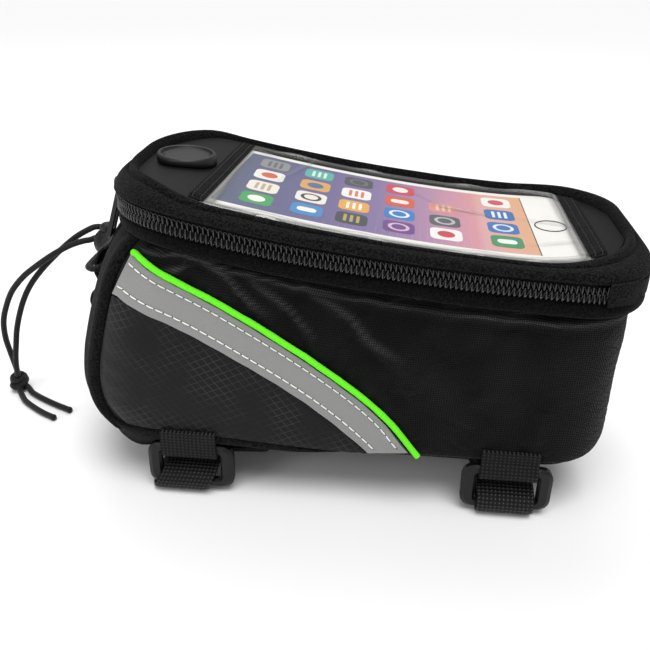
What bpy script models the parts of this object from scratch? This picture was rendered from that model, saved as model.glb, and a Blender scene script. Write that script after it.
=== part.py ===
"""Top tube phone bag: a padded bicycle bag with a zipped lid and a clear phone window.

Frame: the bag's front end, which meets the stem, points along -X, its rear end along +X,
and +Z is up. The origin is the bottom centre of the bag as it stands on its two straps.
Sizes are written in millimetres times mm, so every value below is in metres.
"""
import math

import bmesh
import bpy
from mathutils import Vector

mm = 0.001

# Clearances
GAP = 0.3 * mm                  # between sewn or stacked pieces
SKIN_GAP = 0.4 * mm             # under a skin that follows the curved wall
LINING_GAP = 0.5 * mm

# Bag body
BODY_HALF_WIDTH = 42.5 * mm
BODY_CORNER_RADIUS = 28.0 * mm  # front corners, seen from above
BODY_REAR_RADIUS = 20.0 * mm
BODY_BOTTOM = 22.0 * mm         # bottom seam of the side panels
WALL = 2.4 * mm                 # woven cloth with its foam
LINING = 0.8 * mm
FRONT_LINE = (                  # height of the front wall against its X
    (22.0 * mm, -90.7 * mm), (27.0 * mm, -95.2 * mm), (32.0 * mm, -97.7 * mm),
    (38.6 * mm, -98.7 * mm), (47.0 * mm, -97.7 * mm), (55.0 * mm, -95.7 * mm),
    (65.0 * mm, -92.7 * mm), (76.5 * mm, -88.7 * mm), (85.7 * mm, -84.7 * mm),
    (94.0 * mm, -79.2 * mm), (98.0 * mm, -75.4 * mm), (104.0 * mm, -73.9 * mm))
REAR_LINE = (                   # height of the rear wall against its X
    (22.0 * mm, 92.6 * mm), (25.0 * mm, 94.6 * mm), (30.0 * mm, 95.8 * mm),
    (60.0 * mm, 96.0 * mm), (90.0 * mm, 96.0 * mm))

# Base
BASE_GUSSET_THICKNESS = 3.2 * mm
BASE_BOARD_THICKNESS = 1.2 * mm
BASE_BOARD_INSET = 3.0 * mm

# Lid and zip: the zip's middle line and the lid's top line, X against height
LID_OVERHANG = 3.5 * mm         # the zip chain stands out from the body's side
LID_HALF_WIDTH = BODY_HALF_WIDTH + LID_OVERHANG
LID_FRONT = -79.2 * mm
LID_REAR = 99.8 * mm
LID_FRONT_RADIUS = 30.0 * mm
LID_REAR_RADIUS = 24.0 * mm
ZIP_LINE = (
    (-80.0 * mm, 107.0 * mm), (-70.0 * mm, 107.4 * mm), (-56.0 * mm, 106.0 * mm),
    (-44.0 * mm, 103.6 * mm), (-28.0 * mm, 100.3 * mm), (-13.0 * mm, 97.8 * mm),
    (18.0 * mm, 94.0 * mm), (49.0 * mm, 91.2 * mm), (79.0 * mm, 89.7 * mm),
    (100.0 * mm, 89.3 * mm))
LID_LINE = (
    (-80.0 * mm, 114.0 * mm), (-58.0 * mm, 114.6 * mm), (-42.0 * mm, 110.9 * mm),
    (-9.0 * mm, 104.7 * mm), (24.0 * mm, 100.0 * mm), (57.0 * mm, 97.2 * mm),
    (84.0 * mm, 96.9 * mm), (98.0 * mm, 96.6 * mm))

# Zip chain
COIL_ROW_HEIGHT = 3.2 * mm      # one side of the chain, from its edge to the parting line
COIL_THICKNESS = 2.2 * mm
COIL_RIB_DEPTH = 0.7 * mm
COIL_PITCH = 2.5 * mm
COIL_SLANT = 0.7 * mm           # how far a loop leans along the chain
ZIP_TAPE = 0.6 * mm
ZIP_REAR_END = 86.0 * mm        # where the chain ends on both sides
BAND_HEIGHT = 4.8 * mm          # padded welt under the chain
BAND_THICKNESS = 3.0 * mm
END_COVER = 11.0 * mm           # length of the cloth cover over each end of the chain
HINGE_STRIP_SETBACK = 2.4 * mm  # from the chain's end to the cloth hinge

# Lid panels
PANEL_FRONT = -74.5 * mm
PANEL_REAR = 94.0 * mm
PANEL_HALF_WIDTH = 38.5 * mm
PANEL_FRONT_RADIUS = 35.0 * mm
PANEL_REAR_RADIUS = 33.0 * mm
BORDER_DEPTH = 3.6 * mm         # inner wall of the padded border
WINDOW_START = -44.6 * mm
WINDOW_END = 79.5 * mm
WINDOW_SKEW = 3.0 * mm          # the window's ends lean by this much over its width
FILM = 0.5 * mm
SMOOTH_PANEL = 1.2 * mm
TRIM_WIDTH = 5.0 * mm
TRIM = 0.7 * mm
CARD_REAR = 78.0 * mm
CARD_WIDTH = 67.0 * mm
CARD = 0.5 * mm
CARD_MARGIN = 0.8 * mm
CARD_CORNER_RADIUS = 7.0 * mm
BACKING = 1.8 * mm

# Badge
BADGE_X = -59.6 * mm
BADGE_RADIUS = 10.6 * mm
BADGE_HEIGHT = 2.4 * mm
BADGE_RIM = 1.6 * mm
BADGE_RECESS = 0.8 * mm

# Side decoration
SKIN = 0.8 * mm
SEAM_SETBACK = 14.0 * mm        # from the front wall back to the side panel's seam
FRONT_GUSSET = 1.1 * mm
PIPING_RADIUS = 1.1 * mm
PIPING_LINE = (                 # X against height, on the near and the far side
    (-68.0 * mm, 93.5 * mm), (-52.7 * mm, 85.8 * mm), (-36.5 * mm, 77.1 * mm),
    (-13.4 * mm, 62.4 * mm), (7.3 * mm, 47.2 * mm), (18.0 * mm, 37.0 * mm),
    (28.5 * mm, 23.4 * mm))
TAPE_LINE = (
    (-76.0 * mm, 77.2 * mm), (-54.0 * mm, 68.1 * mm), (-30.6 * mm, 54.8 * mm),
    (-13.4 * mm, 43.6 * mm), (-2.8 * mm, 35.4 * mm), (4.4 * mm, 29.0 * mm),
    (11.0 * mm, 22.8 * mm))
SIDE_PANEL_FOOT = 23.0 * mm

# Webbing and rings
WEBBING_WIDTH = 20.0 * mm
WEBBING = 1.6 * mm
STRAP_X = {"front": -54.2 * mm, "rear": 60.8 * mm}
STRAP_SKEW = {"front": -6.0 * mm, "rear": 0.0 * mm}
RING_SLOT_WIDTH = 22.0 * mm
RING_BAR = 3.4 * mm
RING_END = 5.0 * mm
RING_BOTTOM = 2.4 * mm
RING_HEIGHT = 18.2 * mm
RING_INSET = 0.7 * mm           # ring's bars inside the body's side
RING_Y = RING_INSET - BODY_HALF_WIDTH

# Strap path, from its free end over the tube gap, round the ring's lower bar, along the
# floor and up to its seam: offsets from the ring's middle, then from the far side's edge
STRAP_RING_PATH = (
    (35.8 * mm, 11.2 * mm), (25.8 * mm, 11.4 * mm), (14.8 * mm, 11.6 * mm),
    (5.8 * mm, 11.4 * mm), (0.8 * mm, 10.8 * mm), (-2.6 * mm, 9.0 * mm),
    (-3.8 * mm, 6.2 * mm), (-3.2 * mm, 3.2 * mm), (-0.8 * mm, 1.2 * mm),
    (3.8 * mm, 0.8 * mm), (13.8 * mm, 0.8 * mm), (27.8 * mm, 0.8 * mm))
STRAP_FAR_PATH = (
    (-38.5 * mm, 0.8 * mm), (-22.5 * mm, 0.8 * mm), (-10.5 * mm, 1.1 * mm),
    (-3.9 * mm, 3.4 * mm), (-1.5 * mm, 7.6 * mm), (-2.3 * mm, 12.0 * mm),
    (-5.9 * mm, 15.6 * mm), (-11.5 * mm, 17.0 * mm), (-18.5 * mm, 17.1 * mm),
    (-26.5 * mm, 17.1 * mm))
STRAP_LEAN = ((4, 0.0), (5, 0.1), (7, 0.6), (9, 1.0), (11, 0.9), (15, 0.0))
TAB_TOP = 5.5 * mm              # ring tab above the body's bottom seam
TAB_TAIL = 13.0 * mm            # ring tab under the base, from the ring's middle
FLAP_LENGTH = 35.0 * mm
FLAP_WIDTH = 18.0 * mm
FLAP_INSET = 5.8 * mm           # from the ring's middle
FLAP_HEIGHT = 12.6 * mm

# Sliders and pulls
SLIDER_OFFSET_Y = 8.0 * mm
SLIDER_LENGTH = 8.4 * mm
SLIDER_HEIGHT = 7.6 * mm
SLIDER_PLATE = 1.2 * mm
SLIDER_INNER_CLEARANCE = 1.0 * mm
SLIDER_NECK = 2.0 * mm
BRIDGE_BAR = 1.2 * mm
BRIDGE_WIDTH = 2.0 * mm
BRIDGE_HEIGHT = 6.6 * mm
BRIDGE_SPACE = 2.5 * mm         # free depth under the bridge for the pull's cross bar
PULL_LENGTH = 21.0 * mm
PULL_WIDTH = 6.0 * mm
PULL_THICKNESS = 1.4 * mm
PULL_CROSS_BAR = 1.2 * mm
PULL_EYE = (3.0 * mm, 5.0 * mm)
PULL_LEAN = math.radians(18.0)  # the pull hangs along the leaning front wall

# Cord, its lock and the webbing that carries them
CORD_DIAMETER = 2.5 * mm
CORD_SPACING = 2.9 * mm         # between the two strands in the lock
LOOP_SPACE = 3.4 * mm           # between the front wall and the webbing's loop
LOOP_HEIGHTS = (                # height against share of the loop's full space
    (96.0, 0.0), (90.0, 0.0), (84.5, 0.0), (82.5, 0.3), (80.5, 0.82), (78.5, 1.0),
    (73.5, 1.0), (71.5, 0.82), (69.5, 0.3), (67.5, 0.0), (65.5, 0.0), (64.0, 0.3),
    (62.2, 0.6), (59.8, 0.6), (58.0, 0.3), (56.0, 0.0), (53.0, 0.0))
LOCK_RADIUS = 6.4 * mm
LOCK_PLACE = (71.3 * mm, 8.0 * mm, 18.0 * mm)   # height on the wall, stand-off, y
LOCK_AXIS = Vector((-0.5, 0.866, 0.0)).normalized()
LOCK_GROOVE = 0.5 * mm
LOCK_BORE_HEIGHT = 3.2 * mm
BUTTON_RADIUS = 3.2 * mm
BUTTON_RUNNING_GAP = 0.25 * mm
BUTTON_FOOT = 4.6 * mm          # heights above the lock's centre
BUTTON_TOP = 8.4 * mm
WELL_FLOOR = 2.1 * mm
BUTTON_TRAVEL = 1.1 * mm
SPRING_WIRE = 0.4 * mm
SPRING_RADIUS = 2.3 * mm
SPRING_TURNS = 2.25
KNOT_RADIUS = 4.3 * mm
KNOT_CENTRE = Vector((-150.2 * mm, 16.6 * mm, 4.3 * mm))
# Small shape helpers

def along(knots, at):
    """Smooth value at a place along a row of (place, value) knots."""
    if at <= knots[0][0]:
        return knots[0][1]
    if at >= knots[-1][0]:
        return knots[-1][1]
    index = max(i for i, knot in enumerate(knots[:-1]) if knot[0] <= at)
    (x0, y0), (x1, y1) = knots[index], knots[index + 1]
    step = x1 - x0

    def slope(i):
        low, high = max(i - 1, 0), min(i + 1, len(knots) - 1)
        return (knots[high][1] - knots[low][1]) / (knots[high][0] - knots[low][0])

    t = (at - x0) / step
    a, b = slope(index) * step, slope(index + 1) * step
    return ((2 * t ** 3 - 3 * t ** 2 + 1) * y0 + (t ** 3 - 2 * t ** 2 + t) * a
            + (3 * t ** 2 - 2 * t ** 3) * y1 + (t ** 3 - t ** 2) * b)


def lerp(a, b, t):
    return a + (b - a) * t


def span(first, last, count):
    """Evenly spaced values from first to last."""
    return [lerp(first, last, i / (count - 1)) for i in range(count)]


def zip_height(x):
    return along(ZIP_LINE, x)


def lid_height(x):
    return along(LID_LINE, x)


def front_wall(z):
    return along(FRONT_LINE, z)


def rear_wall(z):
    return along(REAR_LINE, z)


def plan_outline(front, rear, half, front_radius, rear_radius, corner=8, side=12, end=4):
    """Closed outline seen from above, anticlockwise from the middle of the rear end."""
    points = []

    def arc(cx, cy, radius, start, stop):
        for angle in span(start, stop, corner + 1):
            points.append((cx + radius * math.cos(angle), cy + radius * math.sin(angle)))

    def run(a, b, count):
        for i in range(1, count):
            points.append((lerp(a[0], b[0], i / count), lerp(a[1], b[1], i / count)))

    quarter = math.pi / 2
    points.append((rear, 0.0))
    run((rear, 0.0), (rear, half - rear_radius), end)
    arc(rear - rear_radius, half - rear_radius, rear_radius, 0.0, quarter)
    run((rear - rear_radius, half), (front + front_radius, half), side)
    arc(front + front_radius, half - front_radius, front_radius, quarter, 2 * quarter)
    run((front, half - front_radius), (front, front_radius - half), 2 * end)
    arc(front + front_radius, front_radius - half, front_radius, 2 * quarter, 3 * quarter)
    run((front + front_radius, -half), (rear - rear_radius, -half), side)
    arc(rear - rear_radius, rear_radius - half, rear_radius, 3 * quarter, 4 * quarter)
    run((rear, rear_radius - half), (rear, 0.0), end)
    return points


def lid_ring(offset, drop, line):
    """Lid outline at an offset from the chain's outer face, at a height on a line."""
    outline = plan_outline(LID_FRONT - offset, LID_REAR + offset, LID_HALF_WIDTH + offset,
                           LID_FRONT_RADIUS + offset, LID_REAR_RADIUS + offset)
    return [Vector((x, y, line(x) + drop)) for x, y in outline]


def panel_ring(offset, drop):
    """Outline of the lid's top panel at an offset, at a height below the lid line."""
    outline = plan_outline(PANEL_FRONT - offset, PANEL_REAR + offset,
                           PANEL_HALF_WIDTH + offset, PANEL_FRONT_RADIUS + offset,
                           PANEL_REAR_RADIUS + offset)
    return [Vector((x, y, lid_height(x) + drop)) for x, y in outline]


def panel_half(x, offset=0.0):
    """Half width of the lid's top panel at a place along it."""
    half = PANEL_HALF_WIDTH + offset
    for end, radius, sign in ((PANEL_FRONT - offset, PANEL_FRONT_RADIUS + offset, -1),
                              (PANEL_REAR + offset, PANEL_REAR_RADIUS + offset, 1)):
        past = (x - (end - sign * radius)) * sign
        if past > 0:
            return half - radius + math.sqrt(max(radius ** 2 - past ** 2, 0.0))
    return half


def side_half(x, z, offset):
    """Half width of the body wall's outer face at a point of its side."""
    front, rear = front_wall(z) - offset, rear_wall(z) + offset
    half = BODY_HALF_WIDTH + offset
    radius = BODY_CORNER_RADIUS + offset
    past = front + radius - x
    if past <= 0:
        radius = BODY_REAR_RADIUS + offset
        past = x - (rear - radius)
    if past <= 0:
        return half
    return half - radius + math.sqrt(max(radius ** 2 - past ** 2, 0.0))


def body_ring(offset, share, foot, top_drop):
    """Body outline at a share of the way from a foot height to the edge under the zip."""
    heights = [foot] * len(plan_outline(0.0, 1.0, 0.3, 0.1, 0.1))
    for _ in range(4):
        points = []
        for i, z in enumerate(heights):
            outline = plan_outline(front_wall(z) - offset, rear_wall(z) + offset,
                                   BODY_HALF_WIDTH + offset, BODY_CORNER_RADIUS + offset,
                                   BODY_REAR_RADIUS + offset)
            points.append(outline[i])
        heights = [lerp(foot, zip_height(x) + top_drop, share) for x, _ in points]
    return [Vector((x, y, z)) for (x, y), z in zip(points, heights)]


# Mesh helpers

def material(name, colour, roughness, metallic=0.0, alpha=1.0):
    mat = bpy.data.materials.new(name)
    mat.use_nodes = True
    shader = mat.node_tree.nodes["Principled BSDF"]
    shader.inputs["Base Color"].default_value = (*colour, 1.0)
    shader.inputs["Roughness"].default_value = roughness
    shader.inputs["Metallic"].default_value = metallic
    shader.inputs["Alpha"].default_value = alpha
    return mat


def add_object(name, bm, mat, sharp=40.0):
    """Turn a bmesh into a named object with outward faces and smooth round sides."""
    bmesh.ops.recalc_face_normals(bm, faces=bm.faces)
    if bm.calc_volume(signed=True) < 0:
        bmesh.ops.reverse_faces(bm, faces=bm.faces)
    mesh = bpy.data.meshes.new(name)
    bm.to_mesh(mesh)
    bm.free()
    mesh.shade_smooth()
    mesh.set_sharp_from_angle(angle=math.radians(sharp))
    mesh.materials.append(mat)
    obj = bpy.data.objects.new(name, mesh)
    bpy.context.collection.objects.link(obj)
    return obj


def loft(rings, closed=True, wrap=False, caps=True):
    """Skin between rings of equal count; wrap joins the last ring to the first."""
    bm = bmesh.new()
    rows = [[bm.verts.new(point) for point in ring] for ring in rings]
    pairs = list(zip(rows, rows[1:])) + ([(rows[-1], rows[0])] if wrap else [])
    count = len(rows[0])
    for low, high in pairs:
        for i in range(count if closed else count - 1):
            j = (i + 1) % count
            bm.faces.new((low[i], low[j], high[j], high[i]))
    if caps and not wrap:
        bm.faces.new(rows[0])
        bm.faces.new(rows[-1])
    return bm


def sheet_between(upper, lower):
    """Closed slab between two grids of points of the same size."""
    bm = bmesh.new()
    tops = [[bm.verts.new(p) for p in row] for row in upper]
    feet = [[bm.verts.new(p) for p in row] for row in lower]
    rows, columns = len(tops), len(tops[0])
    for grid in (tops, feet):
        for i in range(rows - 1):
            for j in range(columns - 1):
                bm.faces.new((grid[i][j], grid[i + 1][j], grid[i + 1][j + 1], grid[i][j + 1]))
    rim = ([(i, 0) for i in range(rows)] + [(rows - 1, j) for j in range(1, columns)]
           + [(i, columns - 1) for i in range(rows - 2, -1, -1)]
           + [(0, j) for j in range(columns - 2, 0, -1)])
    for (a, b), (c, d) in zip(rim, rim[1:] + rim[:1]):
        bm.faces.new((tops[a][b], tops[c][d], feet[c][d], feet[a][b]))
    return bm


def prism(profile, place_low, place_high):
    """Extrude a closed profile between two placements of its (u, v) points."""
    return loft([[place_low(u, v) for u, v in profile], [place_high(u, v) for u, v in profile]])


def rounded_rectangle(width, height, radius, steps=4):
    """Closed (u, v) outline round the origin."""
    points = []
    for index in range(4):
        cu = (width / 2 - radius) * (1 if index in (0, 3) else -1)
        cv = (height / 2 - radius) * (1 if index in (0, 1) else -1)
        for angle in span(index * math.pi / 2, (index + 1) * math.pi / 2, steps + 1):
            points.append((cu + radius * math.cos(angle), cv + radius * math.sin(angle)))
    return points


def smooth_route(points, spacing):
    """Points at an even spacing on a smooth curve through the route's own points."""
    ends = [2 * points[0] - points[1], *points, 2 * points[-1] - points[-2]]
    fine = []
    for a, b, c, d in zip(ends, ends[1:], ends[2:], ends[3:]):
        for i in range(16):
            t = i / 16
            fine.append(0.5 * (2 * b + (c - a) * t + (2 * a - 5 * b + 4 * c - d) * t ** 2
                               + (3 * b - 3 * c + d - a) * t ** 3))
    fine.append(points[-1])
    length = sum((q - p).length for p, q in zip(fine, fine[1:]))
    count = max(int(round(length / spacing)), 2)
    route, walked, target = [fine[0]], 0.0, length / count
    for p, q in zip(fine, fine[1:]):
        step = (q - p).length
        while walked + step >= target - 1e-9 and len(route) < count:
            route.append(p.lerp(q, (target - walked) / step))
            target += length / count
        walked += step
    route.append(fine[-1])
    return route


def tube(name, route, diameter, mat, resolution=2):
    """Round cord along a route, as a curve with a bevel and filled caps."""
    curve = bpy.data.curves.new(name, "CURVE")
    curve.dimensions = "3D"
    curve.bevel_depth = diameter / 2
    curve.bevel_resolution = resolution
    curve.use_fill_caps = True
    spline = curve.splines.new("POLY")
    spline.points.add(len(route) - 1)
    for point, place in zip(spline.points, route):
        point.co = (*place, 1.0)
    curve.materials.append(mat)
    obj = bpy.data.objects.new(name, curve)
    bpy.context.collection.objects.link(obj)
    return obj


def combine(obj, tool, operation):
    """Join a tool's shape to an object or take it out of it, and hide the tool."""
    tool.hide_render = True
    tool.display_type = "WIRE"
    modifier = obj.modifiers.new(operation.title(), "BOOLEAN")
    modifier.operation = operation
    modifier.solver = "EXACT"
    modifier.object = tool


# Bag body

BODY_LEVELS = (0.0, 0.02, 0.05, 0.09, 0.14, 0.2, 0.28, 0.38, 0.5, 0.62, 0.74, 0.84, 0.92, 0.96, 1.0)
INNER_LEVELS = (0.0, 0.04, 0.12, 0.22, 0.36, 0.52, 0.7, 0.85, 1.0)
RIM_DROP = -(COIL_ROW_HEIGHT + 1.6 * mm)
BAND_TOP = -(COIL_ROW_HEIGHT + GAP)
BAND_FOOT = BAND_TOP - BAND_HEIGHT


def open_shell(offset, wall, foot, top_drop, levels):
    """Open-topped vessel that follows the body outline, with a wall and a floor."""
    outer = [body_ring(offset, share, foot, top_drop) for share in levels]
    inner = [body_ring(offset - wall, share, foot + wall, top_drop) for share in INNER_LEVELS]
    return loft(outer + inner[::-1])


def build_body(mats):
    bm = open_shell(0.0, WALL, BODY_BOTTOM, RIM_DROP, BODY_LEVELS)
    add_object("body_shell", bm, mats["woven"])
    inset = WALL + LINING_GAP
    bm = open_shell(-inset, LINING, BODY_BOTTOM + inset, RIM_DROP, INNER_LEVELS)
    add_object("body_lining", bm, mats["lining"])
    floor = BODY_BOTTOM + inset + LINING + GAP
    outline = plan_outline(front_wall(floor) + inset + LINING + BASE_BOARD_INSET,
                           rear_wall(floor) - inset - LINING - BASE_BOARD_INSET,
                           BODY_HALF_WIDTH - inset - LINING - BASE_BOARD_INSET,
                           BODY_CORNER_RADIUS, BODY_REAR_RADIUS, corner=6, side=1, end=1)
    bm = loft([[Vector((x, y, floor + rise)) for x, y in outline]
               for rise in (0.0, BASE_BOARD_THICKNESS)])
    add_object("base_board", bm, mats["board"])
    build_base_gusset(mats)
    build_front_gusset(mats)
    build_band(mats)


def build_base_gusset(mats):
    """Cloth base with rolled edges, sewn under the body."""
    top = BODY_BOTTOM - GAP
    rings = []
    for inset, drop in ((3.6 * mm, 0.0), (3.0 * mm, 0.9 * mm), (3.5 * mm, 2.0 * mm),
                        (5.2 * mm, BASE_GUSSET_THICKNESS)):
        outline = plan_outline(front_wall(BODY_BOTTOM) + inset, rear_wall(BODY_BOTTOM) - inset,
                               BODY_HALF_WIDTH - inset, BODY_CORNER_RADIUS - inset,
                               BODY_REAR_RADIUS - inset)
        rings.append([Vector((x, y, top - drop)) for x, y in outline])
    add_object("base_gusset", loft(rings), mats["nap"])


def front_gusset_grid(offset):
    """Points of the front wall's skin from the near seam round to the far seam."""
    grid = []
    for share in BODY_LEVELS[1:]:
        row = []
        z = lerp(BODY_BOTTOM, zip_height(LID_FRONT) + BAND_FOOT - GAP, share)
        radius = BODY_CORNER_RADIUS
        half = BODY_HALF_WIDTH
        front = front_wall(z)
        seam = math.acos((radius - SEAM_SETBACK) / radius)
        arc = [math.pi + a for a in span(0.0, math.pi / 2 - seam * 0.52, 8)]
        corner = [(front + radius + (radius + offset) * math.cos(a),
                   radius - half + (radius + offset) * math.sin(a)) for a in arc]
        flat = [(front - offset, y) for y in span(radius - half, half - radius, 7)[1:-1]]
        points = corner[::-1] + flat + [(x, -y) for x, y in corner]
        for x, y in points:
            row.append(Vector((x, y, z)))
        grid.append(row)
    return grid


def build_front_gusset(mats):
    """Napped cloth over the front wall, wrapped round both front corners."""
    outer = front_gusset_grid(SKIN_GAP + FRONT_GUSSET)
    inner = front_gusset_grid(SKIN_GAP)
    add_object("front_gusset", sheet_between(outer, inner), mats["nap"])


def band_profile(foot, top, inner, outer, crown):
    """Rings of a padded welt: flat inside, rounded outside."""
    middle = (foot + top) / 2
    return ((inner, foot), (outer - crown, foot), (outer, lerp(foot, middle, 0.6)),
            (outer, lerp(top, middle, 0.6)), (outer - crown, top), (inner, top))


def build_band(mats):
    """Padded welt round the mouth of the bag, under the zip chain."""
    inner = BODY_HALF_WIDTH + GAP - LID_HALF_WIDTH
    outer = inner + BAND_THICKNESS
    rings = [lid_ring(offset, drop, zip_height)
             for offset, drop in band_profile(BAND_FOOT, BAND_TOP, inner, outer, 0.9 * mm)]
    add_object("mouth_band", loft(rings, wrap=True), mats["nap"])


# Side panels

def side_grid(columns, rows, offset, place):
    """Grid of points on the near wall; place gives (x, z) for shares along and up.

    The columns are closer at the front, where the wall bends into its corner.
    """
    grid = []
    for u in [share ** 2 for share in span(0.0, 1.0, columns)]:
        row = []
        for v in span(0.0, 1.0, rows):
            x, z = place(u, v)
            row.append(Vector((x, -side_half(x, z, offset), z)))
        grid.append(row)
    return grid


def add_side_pair(name, columns, rows, thickness, place, mat):
    """The same skin on the near and the far wall."""
    for side, sign in (("near", 1.0), ("far", -1.0)):
        outer = side_grid(columns, rows, SKIN_GAP + thickness, place)
        inner = side_grid(columns, rows, SKIN_GAP, place)
        bm = sheet_between(outer, inner)
        bmesh.ops.scale(bm, vec=(1.0, sign, 1.0), verts=bm.verts)
        add_object(name + "_" + side, bm, mat)


def seam_x(z):
    return front_wall(z) + SEAM_SETBACK + GAP


def inverse(knots, value):
    """Place where a falling line of knots has a value."""
    low, high = knots[0][0], knots[-1][0]
    for _ in range(40):
        middle = (low + high) / 2
        if along(knots, middle) > value:
            low = middle
        else:
            high = middle
    return (low + high) / 2


def build_sides(mats):
    top = along(TAPE_LINE, seam_x(TAPE_LINE[0][1])) - 2.0 * mm

    def ripstop(u, v):
        z = lerp(SIDE_PANEL_FOOT, top, v)
        return lerp(seam_x(z), inverse(TAPE_LINE, z) - GAP, u), z

    add_side_pair("ripstop_panel", 14, 14, SKIN, ripstop, mats["ripstop"])

    def tape(u, v):
        drop = PIPING_RADIUS + 0.5 * mm
        low_x = lerp(seam_x(TAPE_LINE[0][1]), TAPE_LINE[-1][0], u)
        high_x = lerp(seam_x(PIPING_LINE[0][1]), PIPING_LINE[-1][0] - 2.2 * drop, u)
        low = Vector((low_x, along(TAPE_LINE, low_x) + GAP))
        high = Vector((high_x, along(PIPING_LINE, high_x + 1.2 * drop) - 0.6 * drop))
        place = low.lerp(high, v)
        return place.x, max(place.y, SIDE_PANEL_FOOT)

    add_side_pair("reflective_tape", 26, 4, SKIN, tape, mats["reflective"])
    for side, sign in (("near", -1.0), ("far", 1.0)):
        points = []
        for x in span(seam_x(PIPING_LINE[0][1]) + PIPING_RADIUS, PIPING_LINE[-1][0], 18):
            z = along(PIPING_LINE, x)
            points.append(Vector((x, sign * side_half(x, z, SKIN_GAP + PIPING_RADIUS), z)))
        tube("green_piping_" + side, points, 2 * PIPING_RADIUS, mats["green"], resolution=2)


# Zip

def zip_path(offset, spacing):
    """Points and directions along the chain, from the near rear end round to the far."""
    ring = plan_outline(LID_FRONT - offset, LID_REAR + offset, LID_HALF_WIDTH + offset,
                        LID_FRONT_RADIUS + offset, LID_REAR_RADIUS + offset, corner=16)
    far = [p for p in ring if p[1] >= 0.0]
    far = [p for i, p in enumerate(far) if p[0] < ZIP_REAR_END or p[1] < far[i - 1][1] - 1.0]
    edge = LID_HALF_WIDTH + offset
    reach = ZIP_REAR_END - (LID_REAR - LID_REAR_RADIUS)
    radius = LID_REAR_RADIUS + offset
    start = (ZIP_REAR_END, edge - radius + math.sqrt(radius ** 2 - reach ** 2))
    half = [start] + [p for p in far if p[0] < ZIP_REAR_END - 1e-6]
    line = [Vector((x, -y, 0.0)) for x, y in half]
    line += [Vector((x, y, 0.0)) for x, y in half[::-1]]
    length = sum((q - p).length for p, q in zip(line, line[1:]))
    count = 2 * int(round(length / spacing / 2))
    path, walked, target = [], 0.0, 0.0
    for p, q in zip(line, line[1:]):
        step = (q - p).length
        while step > 0 and walked + step >= target - 1e-9 and len(path) < count:
            path.append((p.lerp(q, (target - walked) / step), (q - p).normalized()))
            target += length / count
        walked += step
    path.append((line[-1], (line[-1] - line[-2]).normalized()))
    return path


def neck_share(y):
    """How far the rows part round the sliders' necks, from 0 to 1."""
    reach = SLIDER_OFFSET_Y + 2.4 * mm
    return max(0.0, min(1.0, (reach - abs(y)) / (2.0 * mm)))


def inward_side(place, heading):
    """Direction across the chain that points into the bag."""
    side = Vector((-heading.y, heading.x, 0.0))
    return side if side.dot(place) < 0.0 else -side


def build_coil(name, sign, mat):
    """One side of the chain: slanted coil loops as ribs on a continuous strip."""
    rings = []
    for index, (place, heading) in enumerate(zip_path(0.0, COIL_PITCH / 2)):
        inward = inward_side(place, heading)
        depth = 0.0 if index % 2 else COIL_RIB_DEPTH
        middle = zip_height(place.x)
        part = 0.5 * GAP + neck_share(place.y) * (place.x < 0.0) * (0.5 * SLIDER_NECK + GAP)
        edge = COIL_ROW_HEIGHT
        ring = []
        for rise, sink in ((part, 0.3 * COIL_THICKNESS + depth), (lerp(part, edge, 0.5), depth),
                           (edge, 0.35 * COIL_THICKNESS + depth), (edge, COIL_THICKNESS),
                           (part, COIL_THICKNESS)):
            lean = heading * COIL_SLANT * (rise / edge - 0.5)
            if sink == COIL_THICKNESS:
                lean = Vector()
            ring.append(place + lean + inward * sink + Vector((0, 0, middle + sign * rise)))
        rings.append(ring)
    add_object(name, loft(rings), mat, sharp=60.0)


def build_zip(mats):
    for name, sign in (("zip_coil_lower", -1.0), ("zip_coil_upper", 1.0)):
        build_coil(name, sign, mats["coil"])
    inner = -(COIL_THICKNESS + GAP)
    for name, sign in (("zip_tape_lower", -1.0), ("zip_tape_upper", 1.0)):
        rings = []
        for place, heading in zip_path(inner, 2.5 * mm):
            side = inward_side(place, heading)
            part = 0.5 * GAP + neck_share(place.y) * (place.x < 0.0) * (0.5 * SLIDER_NECK + GAP)
            ring = []
            for rise, sink in ((part, 0.0), (COIL_ROW_HEIGHT, 0.0),
                               (COIL_ROW_HEIGHT, ZIP_TAPE), (part, ZIP_TAPE)):
                ring.append(place + side * sink
                            + Vector((0, 0, zip_height(place.x) + sign * rise)))
            rings.append(ring)
        add_object(name, loft(rings), mats["tape"])
    build_hinge_strip(mats)
    build_end_covers(mats)


def rear_arc(offset, start, count):
    """Points round the lid's rear end, from a place on the near side to the far side."""
    radius = LID_REAR_RADIUS + offset
    edge = LID_HALF_WIDTH + offset - radius
    first = math.asin((start - (LID_REAR - LID_REAR_RADIUS)) / radius)
    near = [(LID_REAR - LID_REAR_RADIUS + radius * math.sin(a), -edge - radius * math.cos(a))
            for a in span(first, math.pi / 2, count)]
    return near + [(x, -y) for x, y in near[::-1]]


def build_hinge_strip(mats):
    """Cloth strip that joins the lid to the body round the rear end."""
    inner = -(COIL_THICKNESS + GAP)
    top = COIL_ROW_HEIGHT - GAP
    start = ZIP_REAR_END + HINGE_STRIP_SETBACK
    rings = []
    for outside, inside in zip(rear_arc(0.0, start, 8), rear_arc(inner, start, 8)):
        rings.append([Vector((x, y, zip_height(x) + rise)) for (x, y), rise in
                      ((outside, -COIL_ROW_HEIGHT), (outside, top), (inside, top),
                       (inside, -COIL_ROW_HEIGHT))])
    add_object("lid_hinge_strip", loft(rings), mats["nap"])


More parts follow.
